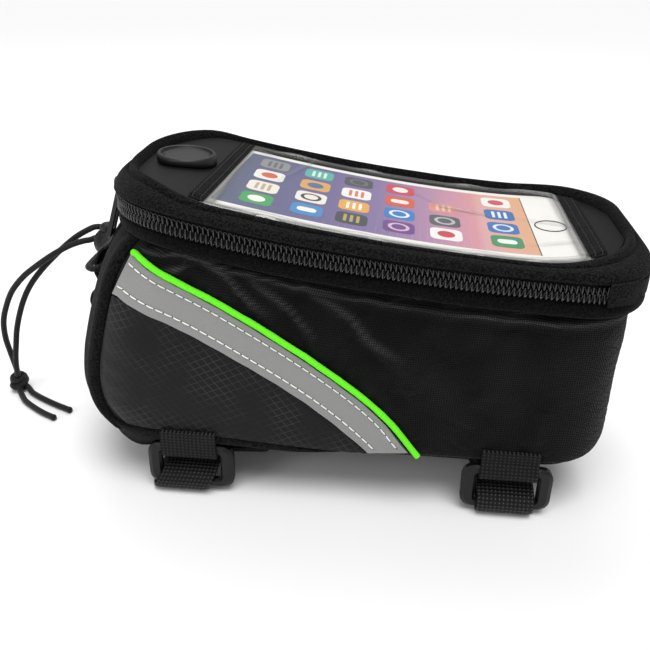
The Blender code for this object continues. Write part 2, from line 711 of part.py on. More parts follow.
def build_end_covers(mats):
    """Folded tabs of cloth over both rear ends of the chain, sewn to the lid."""
    inner, outer = 0.9 * mm, 1.9 * mm
    for side, sign in (("near", 1.0), ("far", -1.0)):
        rings = []
        for share in span(0.0, 1.0, 5):
            start = ZIP_REAR_END + (share - 0.36) * END_COVER
            rise = BORDER_RISE + 1.2 * mm
            low, high = (rear_arc(d, start, 2)[0] for d in (inner, outer))
            swell = 0.5 * mm * math.sin(share * math.pi)
            x0, y0 = low
            x1, y1 = high
            ring = [(x0, y0, -COIL_ROW_HEIGHT), (x1, y1, -COIL_ROW_HEIGHT + 0.4 * mm),
                    (x1, y1 - swell, 0.5 * mm), (x1, y1, rise - 0.4 * mm), (x0, y0, rise)]
            rings.append([Vector((x, sign * y, zip_height(x) + z)) for x, y, z in ring])
        add_object("zip_end_cover_" + side, loft(rings), mats["nap"])


# Lid

BORDER_RISE = COIL_ROW_HEIGHT + GAP


def build_lid_border(mats):
    """Padded border between the zip and the top panel, one closed ring."""
    inner = -(COIL_THICKNESS + GAP + ZIP_TAPE)
    rings = [lid_ring(inner, BORDER_RISE, zip_height),
             lid_ring(-0.6 * mm, BORDER_RISE, zip_height),
             lid_ring(0.4 * mm, BORDER_RISE + 0.9 * mm, zip_height)]
    shoulder = lid_ring(0.0, 0.0, zip_height)
    edge = panel_ring(GAP, 0.0)
    for out, height in ((0.97, 0.45), (0.86, 0.74), (0.62, 0.95), (0.3, 1.03)):
        ring = []
        for low, high in zip(shoulder, edge):
            foot = zip_height(low.x) + BORDER_RISE + 0.9 * mm
            point = high.lerp(low, out)
            point.z = lerp(foot, high.z, height)
            ring.append(point)
        rings.append(ring)
    rings.append(edge)
    rings.append(panel_ring(GAP, -BORDER_DEPTH))
    add_object("lid_border", loft(rings, wrap=True), mats["nap"], sharp=60.0)


def lid_slab(x0, x1, skew0, skew1, half, top, thickness, columns, rows=5, dome=0.0):
    """Slab under the lid line between two cross lines that may lean over the width."""
    grids = ([], [])
    for u in span(0.0, 1.0, columns):
        middle = lerp(x0, x1, u)
        lean = lerp(skew0, skew1, u)
        line = ([], [])
        for v in span(-1.0, 1.0, rows):
            x = middle + lean * v / 2
            y = half(x) * v
            z = lid_height(x) + top + dome * (1 - v * v)
            line[0].append(Vector((x, y, z)))
            line[1].append(Vector((x, y, z - thickness)))
        grids[0].append(line[0])
        grids[1].append(line[1])
    return sheet_between(*grids)


def build_lid_panels(mats):
    surface = -0.2 * mm
    end_step = 0.6 * mm
    skew = WINDOW_SKEW
    bm = lid_slab(PANEL_FRONT + end_step, WINDOW_START - GAP, 0.0, skew, panel_half, surface,
                  SMOOTH_PANEL, 15, rows=9)
    add_object("lid_front_panel", bm, mats["smooth"])
    bm = lid_slab(WINDOW_END + GAP, PANEL_REAR - end_step, 0.0, 0.0, panel_half, surface,
                  SMOOTH_PANEL, 9, rows=9)
    add_object("lid_rear_panel", bm, mats["smooth"])
    bm = lid_slab(WINDOW_START, WINDOW_END, skew, 0.0, panel_half, surface, FILM, 22)
    add_object("window_film", bm, mats["film"])
    strip = surface + GAP + TRIM
    half = lambda x: panel_half(x) - 0.8 * mm
    bm = lid_slab(WINDOW_START - TRIM_WIDTH + 1.2 * mm, WINDOW_START + 1.2 * mm, skew, skew,
                  half, strip, TRIM, 4)
    add_object("window_trim_front", bm, mats["nap"])
    bm = lid_slab(WINDOW_END - 1.2 * mm, WINDOW_END + TRIM_WIDTH, 0.0, 0.0, half, strip,
                  TRIM, 4)
    add_object("window_trim_rear", bm, mats["nap"])
    card_top = surface - FILM - GAP
    build_card(mats, card_top)
    backing_top = card_top - CARD - GAP
    bm = lid_slab(PANEL_FRONT + end_step, PANEL_REAR - end_step, 0.0, 0.0, panel_half,
                  backing_top, BACKING, 24)
    add_object("lid_backing", bm, mats["lining"])


def build_card(mats, top):
    """Display card in the phone pocket, bent to the lid, its rear corners rounded."""
    def half(x):
        past = x - (CARD_REAR - CARD_CORNER_RADIUS)
        if past <= 0:
            return CARD_WIDTH / 2
        sag = math.sqrt(max(CARD_CORNER_RADIUS ** 2 - past ** 2, 0.0))
        return CARD_WIDTH / 2 - CARD_CORNER_RADIUS + sag

    front = WINDOW_START + CARD_MARGIN
    turn = CARD_REAR - CARD_CORNER_RADIUS
    stations = [(x, 1.0 - i / 15) for i, x in enumerate(span(front, turn, 16))]
    stations += [(turn + CARD_CORNER_RADIUS * math.sin(a), 0.0)
                 for a in span(0.0, math.pi / 2, 7)[1:]]
    grids = ([], [])
    for middle, lean in stations:
        for grid, drop in zip(grids, (0.0, CARD)):
            row = []
            for v in span(-1.0, 1.0, 4):
                x = middle + lean * WINDOW_SKEW * v / 2
                row.append(Vector((x, half(middle) * v, lid_height(x) + top - drop)))
            grid.append(row)
    add_object("display_card", sheet_between(*grids), mats["card"])


def build_badge(mats):
    """Round moulded badge: a raised rim round a bare recessed face."""
    seat = 0.1 * mm
    sunk = 1.0 - BADGE_RECESS / BADGE_HEIGHT
    profile = ((0.05 * BADGE_RADIUS, 0.0), (0.35 * BADGE_RADIUS, 0.0),
               (0.7 * BADGE_RADIUS, 0.0), (BADGE_RADIUS, 0.0), (BADGE_RADIUS, 0.75),
               (BADGE_RADIUS - 0.5 * mm, 1.0), (BADGE_RADIUS - BADGE_RIM, 1.0),
               (BADGE_RADIUS - BADGE_RIM - 0.3 * mm, sunk), (0.05 * BADGE_RADIUS, sunk))
    turns = 32
    slope = (lid_height(BADGE_X + 5.0 * mm) - lid_height(BADGE_X - 5.0 * mm)) / (10.0 * mm)
    rings = []
    for radius, share in profile:
        ring = []
        for i in range(turns):
            angle = 2 * math.pi * i / turns
            x, y = BADGE_X + radius * math.cos(angle), radius * math.sin(angle)
            foot = lid_height(x) + seat
            face = lid_height(BADGE_X) + slope * (x - BADGE_X) + seat + BADGE_HEIGHT
            ring.append(Vector((x, y, lerp(foot, face, share))))
        rings.append(ring)
    add_object("round_badge", loft(rings), mats["rubber"])


def build_lid(mats):
    build_lid_border(mats)
    build_lid_panels(mats)
    build_badge(mats)


# Sliders and their pulls

SLIDER_FACE_X = LID_FRONT - GAP - SLIDER_PLATE
PIVOT_X = SLIDER_FACE_X - BRIDGE_SPACE / 2


def block(low, high, taper=0.0):
    """Block between two corners, its -X face drawn in by a taper."""
    bm = bmesh.new()
    made = bmesh.ops.create_cube(bm, size=1.0)["verts"]
    centre = (Vector(low) + Vector(high)) / 2
    size = Vector(high) - Vector(low)
    for vert in made:
        outer = vert.co.x < 0
        vert.co = Vector((vert.co.x * size.x, vert.co.y * (size.y - outer * taper),
                          vert.co.z * (size.z - outer * taper))) + centre
    return bm


def build_slider(name, sign, mat):
    """Slider: outer plate, neck between the rows, inner plate and a bridge."""
    zc = zip_height(LID_FRONT)
    middle = sign * SLIDER_OFFSET_Y
    low, high = middle - SLIDER_LENGTH / 2, middle + SLIDER_LENGTH / 2
    bite = 0.2 * mm
    back = LID_FRONT + COIL_THICKNESS + GAP + ZIP_TAPE + SLIDER_INNER_CLEARANCE
    neck = sorted((sign * 4.4 * mm, sign * 6.8 * mm))
    bm = block((SLIDER_FACE_X, low, zc - SLIDER_HEIGHT / 2),
               (SLIDER_FACE_X + SLIDER_PLATE, high, zc + SLIDER_HEIGHT / 2), 1.0 * mm)
    body = add_object(name, bm, mat)
    bm = block((back, low, zc - 0.9 * COIL_ROW_HEIGHT),
               (back + SLIDER_PLATE, high, zc + 0.9 * COIL_ROW_HEIGHT))
    combine(body, add_object(name + "_inner", bm, mat), "UNION")
    bm = block((SLIDER_FACE_X + SLIDER_PLATE - bite, neck[0], zc - SLIDER_NECK / 2),
               (back + bite, neck[1], zc + SLIDER_NECK / 2))
    combine(body, add_object(name + "_neck", bm, mat), "UNION")
    reach = BRIDGE_SPACE + BRIDGE_BAR / 2
    half = (BRIDGE_HEIGHT - BRIDGE_BAR) / 2
    spine = [Vector((SLIDER_FACE_X + bite, middle, zc + half))]
    for angle in span(math.radians(70.0), math.radians(-70.0), 9):
        spine.append(Vector((SLIDER_FACE_X - reach * math.cos(angle) ** 0.45, middle,
                             zc + half * math.sin(angle) / math.sin(math.radians(70.0)))))
    spine.append(Vector((SLIDER_FACE_X + bite, middle, zc - half)))
    rings = []
    for i, point in enumerate(spine):
        ahead = spine[min(i + 1, len(spine) - 1)] - spine[max(i - 1, 0)]
        out = Vector((ahead.z, 0.0, -ahead.x)).normalized() * BRIDGE_BAR / 2
        side = Vector((0.0, BRIDGE_WIDTH / 2, 0.0))
        rings.append([point + out + side, point + out - side, point - out - side,
                      point - out + side])
    combine(body, add_object(name + "_bridge", loft(rings), mat), "UNION")


def build_pull(name, sign, mat):
    """Pull tab hung on its slider's bridge, its origin on the pivot."""
    top = PULL_CROSS_BAR / 2
    half = PULL_THICKNESS / 2

    def plate(width, length, radius, high, thick):
        drop = high - length / 2
        return prism(rounded_rectangle(width, length, radius),
                     lambda u, v: Vector((-thick, u, v + drop)),
                     lambda u, v: Vector((thick, u, v + drop)))

    body = add_object(name, plate(PULL_WIDTH, PULL_LENGTH, 0.55 * mm, top, half), mat)
    tools = (("_eye", plate(*PULL_EYE, 0.5 * mm, -top, 2 * half)),
             ("_slot", plate(2.6 * mm, 9.0 * mm, 1.2 * mm, -9.0 * mm, 2 * half)))
    for label, bm in tools:
        tool = add_object(name + label, bm, mat)
        tool.parent = body
        combine(body, tool, "DIFFERENCE")
    body.location = (PIVOT_X, sign * SLIDER_OFFSET_Y, zip_height(LID_FRONT))
    body.rotation_euler = (0.0, PULL_LEAN, 0.0)


def build_sliders(mats):
    for side, sign in (("near", -1.0), ("far", 1.0)):
        build_slider("zip_slider_" + side, sign, mats["zip_metal"])
        build_pull("zip_pull_" + side, sign, mats["pull"])


# Straps under the bag

def ribbon(name, path, width, thickness, mat, centre, shift=None):
    """Flat webbing along a path in the YZ plane, with its own thickness."""
    rings = []
    for i, point in enumerate(path):
        ahead = path[min(i + 1, len(path) - 1)] - path[max(i - 1, 0)]
        normal = Vector((0.0, -ahead.z, ahead.y)).normalized() * thickness / 2
        x = centre + (shift[i] if shift else 0.0)
        left, right = Vector((x - width / 2, 0, 0)), Vector((x + width / 2, 0, 0))
        rings.append([left + point - normal, right + point - normal,
                      right + point + normal, left + point + normal])
    add_object(name, loft(rings), mat, sharp=50.0)


def build_ring(name, centre, mat):
    """Moulded rectangular ring with round ends, its slot taking the webbing."""
    width = RING_SLOT_WIDTH + 2 * RING_END
    outline = rounded_rectangle(width, RING_HEIGHT, 4.4 * mm, 4)
    middle = RING_BOTTOM + RING_HEIGHT / 2
    half = RING_BAR / 2
    chamfer = 0.8 * mm
    slot_height = RING_HEIGHT - 2 * RING_BAR
    slot = rounded_rectangle(RING_SLOT_WIDTH, slot_height, 1.2 * mm, 4)
    mouth = rounded_rectangle(RING_SLOT_WIDTH + 2 * chamfer, slot_height + 2 * chamfer,
                              2.0 * mm, 4)
    shrink = 1 - chamfer / (RING_HEIGHT / 2)

    def ring(profile, y, scale=1.0, widen=0.0):
        return [Vector((centre + u * scale + math.copysign(widen, u), RING_Y + y,
                        middle + v * scale)) for u, v in profile]

    rings = [ring(outline, -half, shrink), ring(outline, chamfer - half),
             ring(outline, half - chamfer), ring(outline, half, shrink),
             ring(mouth, half), ring(slot, half - chamfer), ring(slot, chamfer - half),
             ring(mouth, -half)]
    add_object(name, loft(rings, wrap=True), mat)


def build_strap(end, mats):
    """One strap set: tab, ring and the long hook-and-loop strap folded through it."""
    centre = STRAP_X[end]
    build_ring("strap_ring_" + end, centre, mats["plastic"])
    bar_top = RING_BOTTOM + RING_HEIGHT - RING_BAR / 2
    lap = RING_BAR / 2 + 2 * GAP + WEBBING / 2
    skin = SKIN_GAP + SKIN if centre < 0.0 else 0.0
    wall = side_half(centre, SIDE_PANEL_FOOT + 3.0 * mm, skin) + GAP + WEBBING / 2
    under = BODY_BOTTOM - GAP - BASE_GUSSET_THICKNESS - GAP - WEBBING / 2
    tab = [Vector((0.0, -wall, BODY_BOTTOM + TAB_TOP)),
           Vector((0.0, -wall, BODY_BOTTOM + 0.2 * TAB_TOP))]
    for angle in span(math.radians(180.0), math.radians(270.0), 6):
        tab.append(Vector((0.0, RING_Y + lap * math.cos(angle), bar_top + lap * math.sin(angle))))
    for share, sink in ((0.17, 1.0), (0.35, 0.5), (0.52, 0.0), (1.0, 0.0)):
        height = lerp(under, bar_top - lap, sink)
        tab.append(Vector((0.0, RING_Y + share * TAB_TAIL, height)))
    ribbon("ring_tab_" + end, tab, WEBBING_WIDTH, WEBBING, mats["webbing"], centre)
    path = [Vector((0.0, RING_Y + y, z)) for y, z in STRAP_RING_PATH]
    path += [Vector((0.0, BODY_HALF_WIDTH + y, z)) for y, z in STRAP_FAR_PATH]
    skew = STRAP_SKEW[end]
    shift = [skew * along(STRAP_LEAN, i) for i in range(len(path))]
    ribbon("strap_" + end, path, WEBBING_WIDTH, WEBBING, mats["webbing"], centre, shift)


def build_straps(mats):
    for end in STRAP_X:
        build_strap(end, mats)
    build_tail_flap(mats)


def build_tail_flap(mats):
    """Free end of the hook-and-loop lining beside the front strap."""
    x0 = STRAP_X["front"] - 0.35 * WEBBING_WIDTH
    x1 = x0 + FLAP_LENGTH
    y0 = RING_Y + FLAP_INSET
    outline = []
    for u, v in rounded_rectangle(1.0, 1.0, 0.08, 3):
        outline.append((lerp(x0, x1, u + 0.5), y0 + FLAP_WIDTH * (v + 0.5)))
    bm = loft([[Vector((x, y, FLAP_HEIGHT + rise + 0.06 * (x - x0))) for x, y in outline]
               for rise in (0.0, WEBBING)])
    add_object("strap_flap_front", bm, mats["loop_pile"])


# Cord, its lock and the webbing that carries them

GUSSET_FACE = SKIN_GAP + FRONT_GUSSET


def off_wall(height, distance, y):
    """Point at a distance off the front gusset, from a height on the wall."""
    lean = (front_wall(height + mm) - front_wall(height - mm)) / (2 * mm)
    normal = Vector((-1.0, 0.0, lean)).normalized()
    return Vector((front_wall(height) - GUSSET_FACE, y, height)) + normal * distance


def build_front_webbing(mats):
    """Webbing sewn down the front wall, standing off it in two loops."""
    seat = GAP + WEBBING / 2
    free = LOOP_SPACE - GAP
    spine = [off_wall(height * mm, seat + free * share, 0.0) for height, share in LOOP_HEIGHTS]
    rings = []
    side = Vector((0.0, WEBBING_WIDTH / 2, 0.0))
    for i, point in enumerate(spine):
        ahead = spine[min(i + 1, len(spine) - 1)] - spine[max(i - 1, 0)]
        normal = Vector((-ahead.z, 0.0, ahead.x)).normalized() * WEBBING / 2
        rings.append([point - side - normal, point + side - normal, point + side + normal,
                      point - side + normal])
    add_object("front_webbing", loft(rings), mats["webbing"], sharp=50.0)


def turned(name, profile, centre, axis, mat, turns=20):
    """Solid of revolution from (radius, place along the axis) points."""
    frame = Vector(axis).normalized().to_track_quat("Z", "X").to_matrix()
    rings = []
    for radius, reach in profile:
        ring = []
        for i in range(turns):
            angle = 2 * math.pi * i / turns
            local = Vector((radius * math.cos(angle), radius * math.sin(angle), reach))
            ring.append(centre + frame @ local)
        rings.append(ring)
    return add_object(name, loft(rings), mat)


def build_lock(mats):
    """Ball cord lock: a bored ball, and a sprung button that grips the cord."""
    centre = off_wall(LOCK_PLACE[0], LOCK_PLACE[1], LOCK_PLACE[2])
    profile = []
    for angle in span(-70.0, 70.0, 11):
        turn = math.radians(angle)
        profile.append((LOCK_RADIUS * math.cos(turn), LOCK_RADIUS * math.sin(turn)))
    groove = LOCK_GROOVE
    profile[5:6] = [(LOCK_RADIUS, -groove), (LOCK_RADIUS - groove, -0.4 * groove),
                    (LOCK_RADIUS - groove, 0.4 * groove), (LOCK_RADIUS, groove)]
    body = turned("cord_lock_body", profile, centre, LOCK_AXIS, mats["plastic"])
    across = Vector((LOCK_AXIS.y, -LOCK_AXIS.x, 0.0))
    bore_width = CORD_SPACING + LOCK_BORE_HEIGHT
    bore = rounded_rectangle(bore_width, LOCK_BORE_HEIGHT, 1.4 * mm)
    reach = LOCK_AXIS * 2 * LOCK_RADIUS
    bm = prism(bore, lambda u, v: centre - reach + across * u + Vector((0, 0, v)),
               lambda u, v: centre + reach + across * u + Vector((0, 0, v)))
    combine(body, add_object("lock_bore", bm, mats["plastic"]), "DIFFERENCE")
    well_radius = BUTTON_RADIUS + BUTTON_RUNNING_GAP
    well = turned("lock_well", ((well_radius, WELL_FLOOR), (well_radius, 2 * LOCK_RADIUS)),
                  centre, (0.0, 0.0, 1.0), mats["plastic"])
    combine(body, well, "DIFFERENCE")
    dome = BUTTON_TOP - 1.4 * mm
    profile = ((BUTTON_RADIUS, BUTTON_FOOT), (BUTTON_RADIUS, dome),
               (0.9 * BUTTON_RADIUS, lerp(dome, BUTTON_TOP, 0.5)),
               (0.62 * BUTTON_RADIUS, lerp(dome, BUTTON_TOP, 0.88)),
               (0.25 * BUTTON_RADIUS, BUTTON_TOP))
    turned("cord_lock_button", profile, centre, (0.0, 0.0, 1.0), mats["plastic"], turns=16)
    margin = 0.12 * mm + SPRING_WIRE / 2
    route = []
    for i in range(int(14 * SPRING_TURNS) + 1):
        share = i / int(14 * SPRING_TURNS)
        angle = 2 * math.pi * SPRING_TURNS * share
        rise = lerp(WELL_FLOOR + margin, BUTTON_FOOT - margin, share)
        route.append(centre + Vector((SPRING_RADIUS * math.cos(angle),
                                      SPRING_RADIUS * math.sin(angle), rise)))
    tube("cord_lock_spring", route, SPRING_WIRE, mats["spring"], resolution=1)
    return centre, across


# Routes of the cord's free strands, from the lock down to the knot, and of its two tails
STRAND_ROUTES = {
    "rear": (
        (-104.2, 26.4, 76.6), (-107.6, 24.6, 77.8), (-111.2, 22.9, 76.5),
        (-115.6, 22.2, 73.9), (-120.8, 21.6, 69.8), (-126.1, 21.2, 65.0),
        (-131.5, 20.7, 59.7), (-137.1, 20.0, 53.1), (-141.0, 19.0, 46.7),
        (-144.1, 18.0, 39.3), (-146.2, 16.5, 31.6), (-147.1, 15.0, 24.8),
        (-147.9, 14.2, 19.3), (-148.4, 13.9, 14.4), (-149.2, 14.8, 8.8)),
    "front": (
        (-106.6, 22.4, 74.0), (-109.2, 20.8, 73.4), (-111.7, 19.6, 73.2),
        (-116.2, 18.2, 71.9), (-121.4, 17.6, 69.3), (-127.4, 17.2, 65.6),
        (-133.3, 17.2, 61.4), (-139.5, 17.4, 56.4), (-145.5, 17.3, 49.6),
        (-149.5, 17.1, 41.9), (-152.1, 17.2, 34.4), (-152.8, 17.4, 26.5),
        (-152.2, 17.6, 20.0), (-151.4, 17.8, 14.0), (-150.8, 18.0, 8.8)),
}
TAIL_ROUTES = {
    "front": (
        (-148.0, 12.4, 2.1), (-145.2, 8.8, 1.5), (-141.6, 5.0, 1.4),
        (-132.8, -1.1, 1.4), (-124.2, -5.5, 1.4)),
    "rear": (
        (-145.5, 15.6, 2.1), (-142.6, 12.9, 1.5), (-137.6, 9.6, 1.4),
        (-128.7, 4.9, 1.4), (-119.7, 0.9, 1.4)),
}


def in_metres(points):
    return [Vector(point) * mm for point in points]


def build_cord(mats, centre, across):
    """Elastic cord: a bight round the webbing, two strands, a knot and two tails."""
    pitch = 2.4 * CORD_DIAMETER
    half = CORD_SPACING / 2
    start = 0.4 * mm
    outer, inner = centre - across * half, centre + across * half
    leave = LOCK_AXIS * (LOCK_RADIUS - 0.4 * mm)
    over = GAP + WEBBING + LOOP_SPACE + CORD_DIAMETER / 2
    under = LOOP_SPACE / 2
    edge = WEBBING_WIDTH / 2
    front = [off_wall(72.6 * mm, over, edge - 0.8 * mm), off_wall(72.8 * mm, over + 0.2 * mm, 0.0),
             off_wall(73.0 * mm, over, 0.6 * mm - edge)]
    turn = [off_wall(73.4 * mm, over - 0.9 * mm, -edge - 1.7 * mm),
            off_wall(73.9 * mm, 4.2 * mm, -edge - 2.5 * mm),
            off_wall(74.4 * mm, 2.7 * mm, -edge - 1.8 * mm)]
    back = [off_wall(74.8 * mm, under, -edge), off_wall(74.9 * mm, under, -4.0 * mm),
            off_wall(74.8 * mm, under, 4.0 * mm), off_wall(74.6 * mm, under, edge - 0.6 * mm),
            off_wall(74.4 * mm, under + 0.5 * mm, edge + 1.5 * mm)]
    points = [outer - LOCK_AXIS * start, outer - leave, *front, *turn, *back,
              inner - leave, inner - LOCK_AXIS * start]
    tube("cord_loop", smooth_route(points, 0.8 * CORD_DIAMETER), CORD_DIAMETER, mats["cord"])
    for name, origin in (("rear", inner), ("front", outer)):
        points = [origin + LOCK_AXIS * start, origin + LOCK_AXIS * (LOCK_RADIUS + 0.6 * mm),
                  *in_metres(STRAND_ROUTES[name])]
        tube("cord_strand_" + name, smooth_route(points, pitch), CORD_DIAMETER, mats["cord"])
        points = in_metres(TAIL_ROUTES[name])
        tube("cord_tail_" + name, smooth_route(points, pitch), CORD_DIAMETER, mats["cord"])
    build_knot(mats)


def build_knot(mats):
    """Pulled-down knot of both strands, as a lobed ball."""
    rings = []
    for angle in span(-72.0, 72.0, 9):
        turn = math.radians(angle)
        ring = []
        for i in range(24):
            round_turn = 2 * math.pi * i / 24
            swell = 1.0 + 0.07 * math.sin(3 * round_turn + 4 * turn)
            radius = KNOT_RADIUS * swell * math.cos(turn)
            ring.append(KNOT_CENTRE + Vector((radius * math.cos(round_turn),
                                              radius * math.sin(round_turn),
                                              KNOT_RADIUS * 0.95 * math.sin(turn))))
        rings.append(ring)
    add_object("cord_knot", loft(rings), mats["cord"], sharp=70.0)


def main():
    for obj in list(bpy.data.objects):
        bpy.data.objects.remove(obj)
    mats = {
        "woven": material("woven polyester", (0.012, 0.012, 0.013), 0.75),
        "nap": material("napped polyester", (0.010, 0.010, 0.011), 0.9),
        "lining": material("lining cloth", (0.03, 0.03, 0.032), 0.85),
        "board": material("base board", (0.05, 0.05, 0.05), 0.6),
        "ripstop": material("coated ripstop", (0.02, 0.02, 0.022), 0.6),
        "reflective": material("reflective tape", (0.32, 0.32, 0.33), 0.5),
        "green": material("green piping", (0.13, 0.8, 0.03), 0.6),
        "coil": material("nylon zip coil", (0.008, 0.008, 0.009), 0.45),
        "tape": material("zip tape", (0.01, 0.01, 0.011), 0.85),
        "film": material("clear film", (0.9, 0.92, 0.94), 0.1, alpha=0.25),
        "smooth": material("coated cloth", (0.014, 0.014, 0.016), 0.45),
        "card": material("display card", (0.8, 0.8, 0.82), 0.4),
        "rubber": material("moulded rubber", (0.012, 0.012, 0.013), 0.6),
        "plastic": material("acetal", (0.012, 0.012, 0.013), 0.4),
        "webbing": material("polypropylene webbing", (0.010, 0.010, 0.011), 0.8),
        "loop_pile": material("loop pile tape", (0.014, 0.014, 0.015), 0.95),
        "zip_metal": material("lacquered zinc", (0.015, 0.015, 0.016), 0.35),
        "pull": material("moulded pull", (0.012, 0.012, 0.013), 0.5),
        "cord": material("elastic cord", (0.012, 0.012, 0.013), 0.8),
        "spring": material("spring steel", (0.6, 0.6, 0.62), 0.3, metallic=1.0),
    }
    build_body(mats)
    build_sides(mats)
    build_zip(mats)
    build_lid(mats)
    build_sliders(mats)
    build_straps(mats)
    build_front_webbing(mats)
    centre, across = build_lock(mats)
    build_cord(mats, centre, across)


main()
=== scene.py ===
"""Looks of a top tube phone bag: cloth, zip, clear window, trims, straps and cord.

Frame: the bag's front end lies along -X, its rear end along +X, and +Z is up from the floor.
Sizes are millimetres times mm, so every value is in metres.
"""
import math

import bmesh
import bpy
from bpy.props import FloatProperty, FloatVectorProperty, PointerProperty
from mathutils import Matrix, Vector, noise


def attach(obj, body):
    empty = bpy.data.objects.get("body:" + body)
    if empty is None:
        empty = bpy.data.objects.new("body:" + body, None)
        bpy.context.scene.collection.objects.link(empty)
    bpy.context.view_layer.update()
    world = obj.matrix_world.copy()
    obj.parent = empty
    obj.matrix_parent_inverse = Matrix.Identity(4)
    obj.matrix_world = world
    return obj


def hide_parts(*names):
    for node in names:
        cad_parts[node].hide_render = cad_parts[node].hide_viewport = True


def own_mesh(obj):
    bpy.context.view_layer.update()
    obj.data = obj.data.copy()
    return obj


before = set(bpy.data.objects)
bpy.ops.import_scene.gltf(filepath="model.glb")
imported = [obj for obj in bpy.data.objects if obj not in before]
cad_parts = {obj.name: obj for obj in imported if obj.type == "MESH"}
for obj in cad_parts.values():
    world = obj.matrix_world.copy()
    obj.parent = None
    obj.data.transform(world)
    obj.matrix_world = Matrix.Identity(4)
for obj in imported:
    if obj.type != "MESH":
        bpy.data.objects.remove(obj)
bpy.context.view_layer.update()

bl_info = {
    "name": "Top tube phone bag",
    "version": (1, 0, 0),
    "blender": (4, 5, 0),
    "location": "3D View > Sidebar > Bag",
    "description": "Cloth, zip, window, straps and cord of a top tube phone bag",
    "category": "Add Mesh",
}

mm = 0.001


def in_mm(*rows):
    """Rows of numbers in millimetres, turned to metres."""
    return tuple(tuple(value * mm for value in row) for row in rows)


# Sizes shared with the frame's parts
GAP = 0.3 * mm                  # between pieces that lie on each other
SKIN_GAP = 0.4 * mm             # between the body's wall and what is sewn on it
BODY_HALF_WIDTH = 42.5 * mm
BODY_CORNER_RADIUS = 28.0 * mm
BODY_REAR_RADIUS = 20.0 * mm
BODY_BOTTOM = 22.0 * mm
WALL = 2.4 * mm
FRONT_LINE = in_mm(             # height against the front wall's X
    (22.0, -90.7), (27.0, -95.2), (32.0, -97.7), (38.6, -98.7), (47.0, -97.7),
    (55.0, -95.7), (65.0, -92.7), (76.5, -88.7), (85.7, -84.7), (94.0, -79.2),
    (98.0, -75.4), (104.0, -73.9))
REAR_LINE = in_mm(              # height against the rear wall's X
    (22.0, 92.6), (25.0, 94.6), (30.0, 95.8), (60.0, 96.0), (90.0, 96.0))
LID_HALF_WIDTH = 46.0 * mm
LID_FRONT = -79.2 * mm
LID_REAR = 99.8 * mm
LID_FRONT_RADIUS = 30.0 * mm
LID_REAR_RADIUS = 24.0 * mm
ZIP_LINE = in_mm(               # X against the height of the zip's middle
    (-80.0, 107.0), (-70.0, 107.4), (-56.0, 106.0), (-44.0, 103.6), (-28.0, 100.3),
    (-13.0, 97.8), (18.0, 94.0), (49.0, 91.2), (79.0, 89.7), (100.0, 89.3))
LID_LINE = in_mm(               # X against the height of the lid's top
    (-80.0, 114.0), (-58.0, 114.6), (-42.0, 110.9), (-9.0, 104.7), (24.0, 100.0),
    (57.0, 97.2), (84.0, 96.9), (98.0, 96.6))
COIL_ROW_HEIGHT = 3.2 * mm
COIL_THICKNESS = 2.2 * mm
ZIP_TAPE = 0.6 * mm
ZIP_REAR_END = 86.0 * mm
BAND_HEIGHT = 4.8 * mm
BAND_THICKNESS = 3.0 * mm
BAND_TOP = -(COIL_ROW_HEIGHT + GAP)
BAND_FOOT = BAND_TOP - BAND_HEIGHT
BORDER_RISE = COIL_ROW_HEIGHT + GAP
BORDER_DEPTH = 3.6 * mm
PANEL_FRONT = -74.5 * mm
PANEL_REAR = 94.0 * mm
PANEL_HALF_WIDTH = 38.5 * mm
PANEL_FRONT_RADIUS = 35.0 * mm
PANEL_REAR_RADIUS = 33.0 * mm
PANEL_SURFACE = -0.2 * mm
WINDOW_START = -44.6 * mm
WINDOW_END = 79.5 * mm
WINDOW_SKEW = 3.0 * mm
FILM = 0.5 * mm
SMOOTH_PANEL = 1.2 * mm
TRIM_WIDTH = 5.0 * mm
TRIM = 0.7 * mm
CARD = 0.5 * mm
CARD_WIDTH = 67.0 * mm
CARD_REAR = 78.0 * mm
CARD_CORNER_RADIUS = 7.0 * mm
BADGE_X = -59.6 * mm
BADGE_RADIUS = 10.6 * mm
BADGE_HEIGHT = 2.4 * mm
SKIN = 0.8 * mm
SEAM_LINE = in_mm(              # height against the setback of the side panel's seam
    (22.0, 14.0), (34.0, 12.4), (60.0, 10.6), (80.0, 9.4), (96.0, 9.0))
FRONT_GUSSET = 1.1 * mm
SIDE_PANEL_FOOT = 23.0 * mm
PIPING_RADIUS = 1.1 * mm
PIPING_LINE = in_mm(            # X against height, along the piping
    (-68.0, 93.5), (-52.7, 85.8), (-36.5, 77.1), (-13.4, 62.4), (7.3, 47.2), (18.0, 37.0),
    (28.5, 23.4))
TAPE_LINE = in_mm(              # X against height, along the tape's lower edge
    (-76.0, 77.2), (-54.0, 68.1), (-30.6, 54.8), (-13.4, 43.6), (-2.8, 35.4), (4.4, 29.0),
    (11.0, 22.8))
WEBBING_WIDTH = 20.0 * mm
WEBBING = 1.6 * mm
RING_Y = -41.8 * mm
STRAPS = {"front": (-54.2 * mm, -6.0 * mm), "rear": (60.8 * mm, 0.0)}   # middle X and lean
STRAP_RING_PATH = in_mm(        # Y from the ring against height, through the ring and back
    (35.8, 11.2), (25.8, 11.4), (14.8, 11.6), (5.8, 11.4), (0.8, 10.8), (-2.6, 9.0),
    (-3.8, 6.2), (-3.2, 3.2), (-0.8, 1.2), (3.8, 0.8), (13.8, 0.8), (27.8, 0.8))
STRAP_FAR_PATH = in_mm(         # Y from the far wall against height, up to the body
    (-38.5, 0.8), (-22.5, 0.8), (-10.5, 1.1), (-3.9, 3.4), (-1.5, 7.6), (-2.3, 12.0),
    (-5.9, 15.6), (-11.5, 17.0), (-18.5, 17.1), (-26.5, 17.1))
